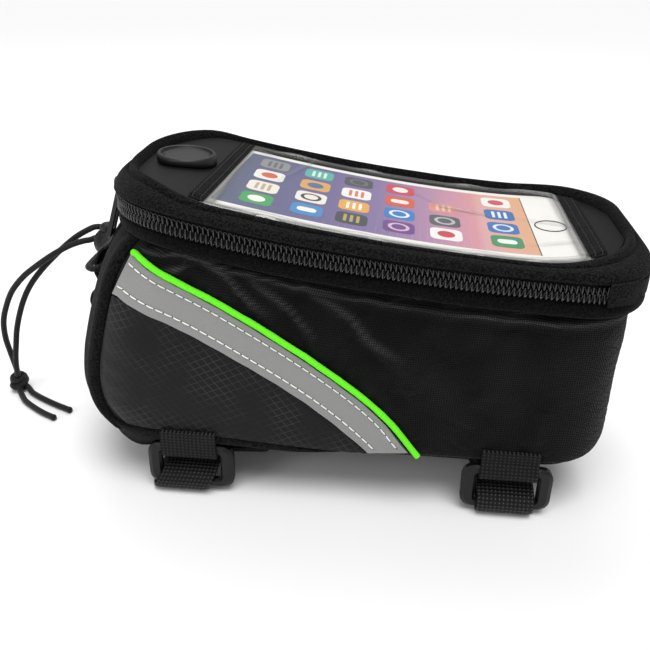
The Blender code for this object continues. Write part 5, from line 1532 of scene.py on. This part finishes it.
def screen_colour(x, y):
    """Colour of the screen's picture: it runs from blue to orange, paler behind the last row."""
    share = (x - SCREEN_START) / (SCREEN_END - SCREEN_START)
    share = max(0.0, min(1.0, share + 0.0004 * y / mm))
    for (a, low), (b, high) in zip(SCREEN_COLOURS, SCREEN_COLOURS[1:]):
        if share <= b:
            t = (share - a) / (b - a)
            break
    tone = tuple(lerp(p, q, t) for p, q in zip(low, high))
    dock = 0.16 * smooth(44.6 * mm, 45.6 * mm, x)
    return tuple(lerp(c, 0.75, dock) for c in tone)


def build_card(mats):
    """The card itself, pale all over, with its front end slanted like the trim."""
    turn = CARD_REAR - CARD_CORNER_RADIUS
    stations = [(x, 1.0 - i / 40) for i, x in enumerate(span(CARD_FRONT, turn, 41))]
    stations += [(turn + CARD_CORNER_RADIUS * math.sin(a), 0.0)
                 for a in span(0.0, math.pi / 2, 12)[1:]]
    upper, lower = [], []
    for middle, lean in stations:
        for grid, drop in ((upper, 0.0), (lower, CARD)):
            row = []
            for v in span(-1.0, 1.0, 5):
                x = middle + lean * WINDOW_SKEW * v / 2
                row.append(Vector((x, card_half(middle) * v, lid_height(x) + CARD_TOP - drop)))
            grid.append(row)
    bm = skin(upper, lower, [[(p.x, p.y) for p in row] for row in upper])
    layer = bm.loops.layers.float_color.new("print")
    for face in bm.faces:
        for loop in face.loops:
            loop[layer] = (*CARD_WHITE, 1.0)
    finish_piece("card_front", bm, mats["screen"], "lid", ["display_card"])


def build_icon(bm, layer, cx, cy, icon):
    """One rounded square with a plain mark on it."""
    ground, mark, tint = linear(icon[0]), icon[1], linear(icon[2])
    add_patch(bm, layer, rounded_outline(cx, cy, ICON_SIZE, ICON_SIZE, ICON_RADIUS),
              lambda x, y: ground, 0.10 * mm)
    width, height, radius, places = ICON_MARKS[mark]
    for place in places:
        outline = rounded_outline(cx + place * mm, cy, width * mm, height * mm, radius * mm)
        add_patch(bm, layer, outline, lambda x, y: tint, 0.14 * mm)
    if mark == "ring":
        width, height, radius = RING_HOLE
        add_patch(bm, layer, rounded_outline(cx, cy, width * mm, height * mm, radius * mm),
                  lambda x, y: ground, 0.18 * mm)


def build_screen(sizes, mats):
    """Display card: a pale phone front with a coloured field and plain rounded marks."""
    build_card(mats)
    bm = bmesh.new()
    layer = bm.loops.layers.float_color.new("print")
    cells = 44
    for i in range(cells):
        x0 = lerp(SCREEN_START, SCREEN_END, i / cells)
        x1 = lerp(SCREEN_START, SCREEN_END, (i + 1) / cells)
        lean = WINDOW_SKEW / 2 * (1 - (i + 0.5) / cells)
        outline = [(x0 - lean, -SCREEN_HALF), (x1 - lean, -SCREEN_HALF),
                   (x1 + lean, SCREEN_HALF), (x0 + lean, SCREEN_HALF)]
        add_patch(bm, layer, outline, screen_colour, 0.05 * mm)
    edge, side = SCREEN_END + 0.35 * mm, SCREEN_HALF + 0.25 * mm
    outline = [(SCREEN_END, -side), (edge, -side), (edge, side), (SCREEN_END, side)]
    add_patch(bm, layer, outline, lambda x, y: SCREEN_RIM, 0.05 * mm)
    for index, icon in enumerate(ICONS):
        if icon:
            build_icon(bm, layer, ICON_ROWS[index // 4], ICON_COLUMNS[index % 4], icon)
    finish_piece("screen_print", bm, mats["screen"], "lid", [])
    ring = []
    for angle in span(0.0, 2 * math.pi, 65):
        x = HOME_RING_X + HOME_RING_RADIUS * math.cos(angle)
        y = HOME_RING_Y + HOME_RING_RADIUS * math.sin(angle)
        ring.append(Vector((x, y, lid_height(x) + CARD_TOP + 0.08 * mm)))
    bm = add_tube(bmesh.new(), ring[:-1] + [ring[0]], 0.22 * mm, 6)
    finish_piece("home_ring", bm, mats["plastic"], "lid", [])


CREASES = (                     # in mm: middle, length, direction in radians and strength
    (40.0, 6.2, 18.0, -0.19, 1.0), (71.5, 0.3, 18.0, -0.27, 0.6),
    (70.6, -19.3, 18.0, 0.34, 0.5), (-37.6, 32.2, 20.0, -0.41, 0.7),
    (28.0, 13.7, 27.0, -0.85, 0.35), (-20.0, 27.0, 50.0, 1.3, 0.4))


def build_film(sizes, mats):
    """Clear window film, creased near its edges and where the card pushes it."""
    def crease(x, y):
        """Height and milkiness of the creases at a place."""
        value = 0.0
        for cx, cy, reach, turn, size in CREASES:
            dx, dy = x / mm - cx, y / mm - cy
            run = dx * math.cos(turn) + dy * math.sin(turn)
            off = -dx * math.sin(turn) + dy * math.cos(turn)
            value += size * bump(0.0, 0.55, off + 0.01 * run) * bump(0.0, 0.5 * reach, run)
        return value

    def edge_wave(x, y):
        """Waves of the film where it is sewn in along its sides."""
        half = panel_half(x) - abs(y)
        ripple = math.sin(x / (5.2 * mm) + 2.5 * noise.noise(Vector((x * 40, 1.0, 0.0))))
        return (0.35 + 0.4 * ripple) * bump(2.0 * mm, 2.6 * mm, half)

    def lift(u, v, x, y):
        hold = smooth(0.0, 0.03, min(u, 1 - u)) * smooth(0.0, 0.03, 1 - abs(v))
        slow = 0.35 * noise.noise(Vector((x * 26, y * 30, 8.0))) + 0.2
        return mm * hold * sizes.film_wrinkle * (slow + 0.45 * crease(x, y) + edge_wave(x, y))

    bm = slab(WINDOW_START, WINDOW_END, WINDOW_SKEW, 0.0, panel_half, PANEL_SURFACE,
              0.3 * mm, 150, 110, lift)
    # Haze: grey painted as the light on the film's creases and bent edges; it also lets the film's
    # gloss show there
    layer = bm.loops.layers.float.new("film_light_and_gloss")
    for face in bm.faces:
        for loop in face.loops:
            x, y, _ = loop.vert.co
            rim = min(panel_half(x) - abs(y), WINDOW_END - x, x - WINDOW_START + 1 * mm)
            margin = 1 - smooth(2.2 * mm, 5.5 * mm, rim)
            streak = math.sin(rim / (0.36 * mm) + 3.5 * noise.noise(Vector((x * 24, y * 24, 2.0))))
            film_light_and_gloss = 0.02 + margin * (0.40 + 0.22 * streak) + 0.5 * crease(x, y)
            loop[layer] = min(film_light_and_gloss, 0.75)
    finish_piece("window_sheet", bm, mats["film"], "lid", ["window_film"])


BADGE_SHAPE = (                 # share of the radius against share of the height
    (0.5, 0.0), (0.985, 0.0), (1.0, 0.06), (1.0, 0.66), (0.985, 0.82), (0.955, 0.95),
    (0.93, 1.0), (0.89, 1.0), (0.865, 0.95), (0.85, 0.82), (0.84, 0.68), (0.82, 0.62),
    (0.79, 0.61), (0.77, 0.64), (0.76, 0.7), (0.74, 0.72), (0.4, 0.72))


def build_badge(sizes, mats):
    """Round moulded badge: a rim, a groove and a plain recessed face."""
    seat = 0.1 * mm
    slope = (lid_height(BADGE_X + 5 * mm) - lid_height(BADGE_X - 5 * mm)) / (10 * mm)
    rings = []
    for radius, share in BADGE_SHAPE:
        ring = []
        for angle in span(0.0, 2 * math.pi, 97)[:-1]:
            x = BADGE_X + radius * BADGE_RADIUS * math.cos(angle)
            y = radius * BADGE_RADIUS * math.sin(angle)
            foot = lid_height(x) + seat
            face = lid_height(BADGE_X) + slope * (x - BADGE_X) + seat + BADGE_HEIGHT
            ring.append(Vector((x, y, lerp(foot, face, share))))
        rings.append(ring)
    finish_piece("badge_face", loft(rings), mats["rubber"], "lid", ["round_badge"])


# Straps, cord and lock

def webbing_row(point, across, normal, along_it):
    """One row of points across the webbing, thinner at its selvedges, and its UV."""
    tops, feet, marks = [], [], []
    for c in span(-1.0, 1.0, 13):
        side = across * (c * WEBBING_WIDTH / 2)
        half = normal * (WEBBING / 2 * (1.0 - 0.55 * smooth(0.86, 1.0, abs(c))))
        tops.append(point + side + half)
        feet.append(point + side - half)
        marks.append((c * WEBBING_WIDTH / 2, along_it))
    return tops, feet, marks


def build_straps(sizes, mats):
    """Both long straps, folded through their rings."""
    across = Vector((1.0, 0.0, 0.0))
    for end, (centre, skew) in STRAPS.items():
        path = [Vector((0.0, RING_Y + y, z)) for y, z in STRAP_RING_PATH]
        path += [Vector((0.0, BODY_HALF_WIDTH + y, z)) for y, z in STRAP_FAR_PATH]
        last = len(path) - 1
        fine, shifts = [], []
        for i in range(last):
            before, after = path[max(i - 1, 0)], path[min(i + 2, last)]
            for t in (0.0, 0.2, 0.4, 0.6, 0.8):
                fine.append(curve_point(before, path[i], path[i + 1], after, t))
                shifts.append(skew * along(STRAP_LEAN, i + t))
        fine.append(path[-1])
        shifts.append(skew * along(STRAP_LEAN, last))
        for point in fine:
            point.z = max(point.z, WEBBING / 2)
        rows, walked = [], 0.0
        for i, point in enumerate(fine):
            ahead = fine[min(i + 1, len(fine) - 1)] - fine[max(i - 1, 0)]
            if i:
                walked += (point - fine[i - 1]).length
            normal = ahead.cross(across).normalized()
            rows.append(webbing_row(point + across * (centre + shifts[i]), across, normal, walked))
        finish_piece("strap_webbing_" + end, skin(*zip(*rows)), mats["webbing"], "bag",
                     ["strap_" + end])


def build_front_webbing(sizes, mats):
    """Webbing sewn down the front wall, standing off it in two loops."""
    seat = GAP + WEBBING / 2
    free = LOOP_SPACE - GAP
    knots = [(WEBBING_TOP - height, share) for height, share in LOOP_HEIGHTS]
    step = 0.2                      # to the next point, from which the slope is taken
    rows = []
    for drop in span(0.0, WEBBING_LENGTH, 90):
        height = WEBBING_TOP - drop
        point = off_wall(height * mm, seat + free * along(knots, drop), 0.0)
        stand = seat + free * along(knots, drop + step)
        ahead = off_wall((height - step) * mm, stand, 0.0) - point
        normal = Vector((ahead.z, 0.0, -ahead.x)).normalized()
        rows.append(webbing_row(point, Vector((0.0, 1.0, 0.0)), normal, drop * mm))
    finish_piece("front_webbing_cloth", skin(*zip(*rows)), mats["webbing"], "bag",
                 ["front_webbing"])


def sealed(share):
    """Tail's radius: a slightly flared, heat-sealed tip."""
    return CORD_DIAMETER / 2 * (1.0 + 0.14 * smooth(0.955, 0.975, share)
                                - 0.35 * smooth(0.985, 1.0, share))


def cord_piece(name, node, route, radius, mats):
    """Round cord along a route, in place of one of the frame's cord parts."""
    bm = add_tube(bmesh.new(), route, radius, CORD_SIDES)
    return finish_piece(name, bm, mats["cord"], "bag", [node], 80.0)


def build_cords(sizes, mats):
    """Elastic cord: a bight round the webbing, two strands, a knot and two tails."""
    radius = CORD_DIAMETER / 2
    across = Vector((LOCK_AXIS.y, -LOCK_AXIS.x, 0.0))
    half = CORD_SPACING / 2
    outer, inner = LOCK_CENTRE - across * half, LOCK_CENTRE + across * half
    leave = LOCK_AXIS * (LOCK_RADIUS - 0.4 * mm)
    over = GAP + WEBBING + LOOP_SPACE + radius
    under = LOOP_SPACE / 2
    edge = WEBBING_WIDTH / 2
    # The bight crosses in front of the webbing, turns at its near edge and goes back behind it
    front = [off_wall(72.6 * mm, over, edge - 0.8 * mm), off_wall(72.8 * mm, over + 0.2 * mm, 0.0),
             off_wall(73.0 * mm, over, 0.6 * mm - edge)]
    turn = [off_wall(73.4 * mm, over - 0.9 * mm, -edge - 1.7 * mm),
            off_wall(73.9 * mm, 4.2 * mm, -edge - 2.5 * mm),
            off_wall(74.4 * mm, 2.7 * mm, -edge - 1.8 * mm)]
    back = [off_wall(74.8 * mm, under, -edge), off_wall(74.9 * mm, under, -4.0 * mm),
            off_wall(74.8 * mm, under, 4.0 * mm), off_wall(74.6 * mm, under, edge - 0.6 * mm),
            off_wall(74.4 * mm, under + 0.5 * mm, edge + 1.5 * mm)]
    points = [outer - LOCK_AXIS * 0.4 * mm, outer - leave, *front, *turn, *back,
              inner - leave, inner - LOCK_AXIS * 0.4 * mm]
    route = smooth_route(points, 0.7 * mm)
    loop = cord_piece("cord_bight", "cord_loop", route, radius, mats)
    knot = build_knot(mats)
    for name, origin in (("rear", inner), ("front", outer)):
        points = [origin + LOCK_AXIS * 0.4 * mm, origin + LOCK_AXIS * (LOCK_RADIUS + 0.6 * mm)]
        points += [Vector(p) * mm for p in STRAND_ROUTES[name]]
        route = smooth_route(points, 0.8 * mm)
        strand = cord_piece("cord_run_" + name, "cord_strand_" + name, route, radius, mats)
        route = smooth_route([Vector(p) * mm for p in TAIL_ROUTES[name]], 0.8 * mm)
        tail = cord_piece("cord_end_" + name, "cord_tail_" + name, route, sealed, mats)


KNOT_TURNS = (                  # middle in mm from the knot's, radius in mm, tilts in radians
    ((0.0, 0.0, 2.2), 2.35, 0.15, 0.10), ((0.7, 0.15, 0.0), 2.75, 0.30, -0.25),
    ((-0.2, -0.3, -2.0), 2.75, -0.2, 0.2), ((0.1, 0.5, 0.9), 2.75, 1.15, 0.45))


def build_knot(mats):
    """Overhand knot of the doubled cord, as its pulled-down turns."""
    bm = bmesh.new()
    for middle, reach, tilt_x, tilt_y in KNOT_TURNS:
        tilt = Matrix.Rotation(tilt_x, 3, "X") @ Matrix.Rotation(tilt_y, 3, "Y")
        route = []
        for a in span(0.0, 2 * math.pi, 29):
            local = Vector((reach * math.cos(a), reach * math.sin(a), 0.0)) * mm
            point = KNOT_CENTRE + Vector(middle) * mm + tilt @ local
            point.z = max(point.z, CORD_DIAMETER / 2)
            route.append(point)
        add_tube(bm, route, CORD_DIAMETER / 2, 12)
    return finish_piece("knot_turns", bm, mats["cord"], "bag", ["cord_knot"], 80.0)


def build_lock_spring(sizes, mats):
    """Spring of the cord lock, copied as it stands in the frame; the real one shortens as its
    button is pressed.
    """
    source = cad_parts["cord_lock_spring"]
    bm = bmesh.new()
    bm.from_mesh(source.data)
    bm.transform(source.matrix_world)
    spring = finish_piece("lock_spring", bm, mats["spring"], "bag", ["cord_lock_spring"])
    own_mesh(spring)


RIGID_FINISHES = {              # material against the frame's parts that are kept as they are
    "lining": ("body_lining",),
    "lid lining": ("lid_backing",),
    "board": ("base_board",),
    "nap": ("lid_hinge_strip", "zip_end_cover_near", "zip_end_cover_far"),
    "zip tape": ("zip_tape_lower", "zip_tape_upper"),
    "metal": ("zip_slider_near", "zip_slider_far"),
    "rubber": ("zip_pull_near", "zip_pull_far"),
    "webbing plain": ("ring_tab_front", "ring_tab_rear"),
    "plastic": ("strap_ring_front", "strap_ring_rear", "cord_lock_body", "cord_lock_button"),
    "pile": ("strap_flap_front",),
}


def finish_rigid_parts(sizes, mats):
    """Materials for the frame's parts that are kept as they are."""
    for finish, names in RIGID_FINISHES.items():
        for name in names:
            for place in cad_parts[name].material_slots:
                place.material = mats[finish]


# Stage

PAPER_TONE = 0.93
SKY_ANGLE = math.radians(38.0)  # width of the soft light from above
SKY_AIM = Vector((-0.12, 0.30, -1.0))
LAMP_AIM = Vector((0.0, 0.0, 0.06))
LAMPS = (                       # name, place and size in metres, power in watts
    ("overhead", (-0.1, 0.45, 0.8), 0.7, 2.2), ("front", (-0.6, -0.7, 0.45), 0.35, 1.4))


def add_floor():
    """Pale paper, wide enough to have no edge in the picture."""
    bm = bmesh.new()
    bmesh.ops.create_grid(bm, x_segments=2, y_segments=2, size=3.0)
    floor = add_mesh("floor", bm)
    mat, _, shader = new_material("pale paper", Roughness=0.9)
    shader.inputs["Base Color"].default_value = (PAPER_TONE, PAPER_TONE, PAPER_TONE, 1.0)
    floor.data.materials.append(mat)


def add_lamp(name, light, place, aim):
    lamp = add_object(name, light)
    lamp.location = place
    lamp.rotation_euler = aim.to_track_quat("-Z", "Y").to_euler()


def add_camera():
    """Camera at the photograph's angle, turned a little about its own axis."""
    lens = bpy.data.cameras.new("camera")
    lens.lens = CAMERA_LENS
    lens.sensor_width = SENSOR_WIDTH
    lens.clip_start = 0.01
    camera = add_object("camera", lens)
    az, el = CAMERA_AZIMUTH, CAMERA_ELEVATION
    ahead = Vector((-math.sin(az) * math.cos(el), math.cos(az) * math.cos(el), -math.sin(el)))
    right = Vector((math.cos(az), math.sin(az), 0.0))
    up = right.cross(ahead)
    turned_right = right * math.cos(CAMERA_ROLL) + up * math.sin(CAMERA_ROLL)
    turned_up = up * math.cos(CAMERA_ROLL) - right * math.sin(CAMERA_ROLL)
    matrix = Matrix((turned_right, turned_up, -ahead)).transposed().to_4x4()
    matrix.translation = CAMERA_PLACE
    camera.matrix_world = matrix
    bpy.context.scene.camera = camera


def build_stage(sizes):
    """Pale floor, soft lights and the camera."""
    scene = bpy.context.scene
    add_floor()
    scene.world = bpy.data.worlds.new("studio")
    scene.world.use_nodes = True
    background = scene.world.node_tree.nodes["Background"]
    background.inputs["Color"].default_value = (1.0, 1.0, 1.0, 1.0)
    background.inputs["Strength"].default_value = sizes.fill_light
    sky = bpy.data.lights.new("sky", "SUN")
    sky.energy = sizes.top_light
    sky.angle = SKY_ANGLE
    add_lamp("sky", sky, (0.0, 0.0, 0.0), SKY_AIM)
    for name, place, size, power in LAMPS:
        light = bpy.data.lights.new(name, "AREA")
        light.size = size
        light.energy = power
        add_lamp(name, light, place, LAMP_AIM - Vector(place))
    add_camera()
    scene.view_settings.view_transform = "Standard"


# Add-on

class BagSizes(bpy.types.PropertyGroup):
    """Sizes and colours that change the bag's looks."""
    cloth_colour: FloatVectorProperty(
        name="Cloth colour", description="Colour of the woven body cloth", subtype="COLOR",
        size=3, min=0.0, max=1.0, default=linear("#1B1B1B"))
    tape_colour: FloatVectorProperty(
        name="Tape colour", description="Colour of the reflective tapes", subtype="COLOR",
        size=3, min=0.0, max=1.0, default=linear("#868685"))
    piping_colour: FloatVectorProperty(
        name="Piping colour", description="Colour of the piping over the tapes",
        subtype="COLOR", size=3, min=0.0, max=1.0, default=linear("#74FF30"))
    weave_pitch: FloatProperty(
        name="Weave pitch", description="Distance between yarns of the body cloth",
        unit="LENGTH", default=0.95 * mm, min=0.2 * mm, max=5 * mm)
    fold_depth: FloatProperty(
        name="Fold depth", description="Strength of the body cloth's folds", default=1.0,
        min=0.0, max=3.0)
    coil_pitch: FloatProperty(
        name="Coil pitch", description="Distance between loops of the zip", unit="LENGTH",
        default=1.63 * mm, min=1.0 * mm, max=5 * mm)
    stitch_length: FloatProperty(
        name="Stitch length", description="Length of a visible stitch", unit="LENGTH",
        default=2.75 * mm, min=0.5 * mm, max=8 * mm)
    stitch_pitch: FloatProperty(
        name="Stitch pitch", description="Distance between stitches", unit="LENGTH",
        default=3.25 * mm, min=0.6 * mm, max=10 * mm)
    film_wrinkle: FloatProperty(
        name="Film wrinkles", description="Strength of the window film's wrinkles",
        default=1.0, min=0.0, max=3.0)
    fill_light: FloatProperty(
        name="Fill light", description="Strength of the light from all round", default=0.45,
        min=0.0, max=5.0)
    top_light: FloatProperty(
        name="Top light", description="Strength of the soft light from above", default=2.0,
        min=0.0, max=20.0)


MATERIALS = {}


def make(context, build):
    """Build one group of pieces with the panel's sizes, and the materials before the first."""
    sizes = context.scene.bag_sizes
    if not MATERIALS:
        MATERIALS.update(make_materials(sizes))
    build(sizes, MATERIALS)
    return {"FINISHED"}


class BAG_OT_body_cloth(bpy.types.Operator):
    """Build the woven body wall"""
    bl_idname = "bag.body_cloth"
    bl_label = "Body cloth"

    def execute(self, context):
        return make(context, build_body_cloth)


class BAG_OT_front_gusset(bpy.types.Operator):
    """Build the napped front gusset"""
    bl_idname = "bag.front_gusset"
    bl_label = "Front gusset"

    def execute(self, context):
        return make(context, build_front_cloth)


class BAG_OT_base(bpy.types.Operator):
    """Build the napped base with its wrapped corners"""
    bl_idname = "bag.base"
    bl_label = "Base"

    def execute(self, context):
        return make(context, build_base)


class BAG_OT_mouth_welt(bpy.types.Operator):
    """Build the padded welt under the zip"""
    bl_idname = "bag.mouth_welt"
    bl_label = "Mouth welt"

    def execute(self, context):
        return make(context, build_welt)


class BAG_OT_ripstop_panels(bpy.types.Operator):
    """Build the lower side panels"""
    bl_idname = "bag.ripstop_panels"
    bl_label = "Ripstop panels"

    def execute(self, context):
        return make(context, build_ripstop)


class BAG_OT_tapes(bpy.types.Operator):
    """Build the tapes, their stitches and the piping"""
    bl_idname = "bag.tapes"
    bl_label = "Tapes and piping"

    def execute(self, context):
        return make(context, build_tapes)


class BAG_OT_zip_coils(bpy.types.Operator):
    """Build both rows of the zip"""
    bl_idname = "bag.zip_coils"
    bl_label = "Zip coils"

    def execute(self, context):
        return make(context, build_coils)


class BAG_OT_lid_border(bpy.types.Operator):
    """Build the lid's padded border"""
    bl_idname = "bag.lid_border"
    bl_label = "Lid border"

    def execute(self, context):
        return make(context, build_border)


class BAG_OT_lid_panels(bpy.types.Operator):
    """Build the lid's end panels and trims"""
    bl_idname = "bag.lid_panels"
    bl_label = "Lid panels"

    def execute(self, context):
        return make(context, build_lid_panels)


class BAG_OT_display_card(bpy.types.Operator):
    """Build the printed card in the pocket"""
    bl_idname = "bag.display_card"
    bl_label = "Display card"

    def execute(self, context):
        return make(context, build_screen)


class BAG_OT_window_film(bpy.types.Operator):
    """Build the clear window"""
    bl_idname = "bag.window_film"
    bl_label = "Window film"

    def execute(self, context):
        return make(context, build_film)


class BAG_OT_badge(bpy.types.Operator):
    """Build the round badge"""
    bl_idname = "bag.badge"
    bl_label = "Badge"

    def execute(self, context):
        return make(context, build_badge)


class BAG_OT_straps(bpy.types.Operator):
    """Build the straps under the bag"""
    bl_idname = "bag.straps"
    bl_label = "Straps"

    def execute(self, context):
        return make(context, build_straps)


class BAG_OT_front_webbing(bpy.types.Operator):
    """Build the looped webbing on the front wall"""
    bl_idname = "bag.front_webbing"
    bl_label = "Front webbing"

    def execute(self, context):
        return make(context, build_front_webbing)


class BAG_OT_cord(bpy.types.Operator):
    """Build the elastic cord with its knot"""
    bl_idname = "bag.cord"
    bl_label = "Cord"

    def execute(self, context):
        return make(context, build_cords)


class BAG_OT_lock_spring(bpy.types.Operator):
    """Build the cord lock's spring"""
    bl_idname = "bag.lock_spring"
    bl_label = "Lock spring"

    def execute(self, context):
        return make(context, build_lock_spring)


class BAG_OT_rigid_parts(bpy.types.Operator):
    """Give the rigid parts their materials"""
    bl_idname = "bag.rigid_parts"
    bl_label = "Rigid parts"

    def execute(self, context):
        return make(context, finish_rigid_parts)


class BAG_OT_stage(bpy.types.Operator):
    """Add the floor, the lights and the camera"""
    bl_idname = "bag.stage"
    bl_label = "Stage"

    def execute(self, context):
        build_stage(context.scene.bag_sizes)
        return {"FINISHED"}


OPERATORS = (                   # in the order in which they are called
    BAG_OT_body_cloth, BAG_OT_front_gusset, BAG_OT_base, BAG_OT_mouth_welt,
    BAG_OT_ripstop_panels, BAG_OT_tapes, BAG_OT_zip_coils, BAG_OT_lid_border,
    BAG_OT_lid_panels, BAG_OT_display_card, BAG_OT_window_film, BAG_OT_badge, BAG_OT_straps,
    BAG_OT_front_webbing, BAG_OT_cord, BAG_OT_lock_spring, BAG_OT_rigid_parts, BAG_OT_stage)


class BAG_PT_panel(bpy.types.Panel):
    """Bag's pieces and sizes"""
    bl_label = "Top tube phone bag"
    bl_idname = "BAG_PT_panel"
    bl_space_type = "VIEW_3D"
    bl_region_type = "UI"
    bl_category = "Bag"

    def draw(self, context):
        sizes = context.scene.bag_sizes
        for name in BagSizes.__annotations__:
            self.layout.prop(sizes, name)
        for operator in OPERATORS:
            self.layout.operator(operator.bl_idname)


CLASSES = (BagSizes, *OPERATORS, BAG_PT_panel)


def register():
    for cls in CLASSES:
        bpy.utils.register_class(cls)
    bpy.types.Scene.bag_sizes = PointerProperty(type=BagSizes)


def unregister():
    del bpy.types.Scene.bag_sizes
    for cls in reversed(CLASSES):
        bpy.utils.unregister_class(cls)


def main():
    register()
    for operator in OPERATORS:
        getattr(bpy.ops.bag, operator.bl_idname.removeprefix("bag."))()


if __name__ == "__main__":
    main()
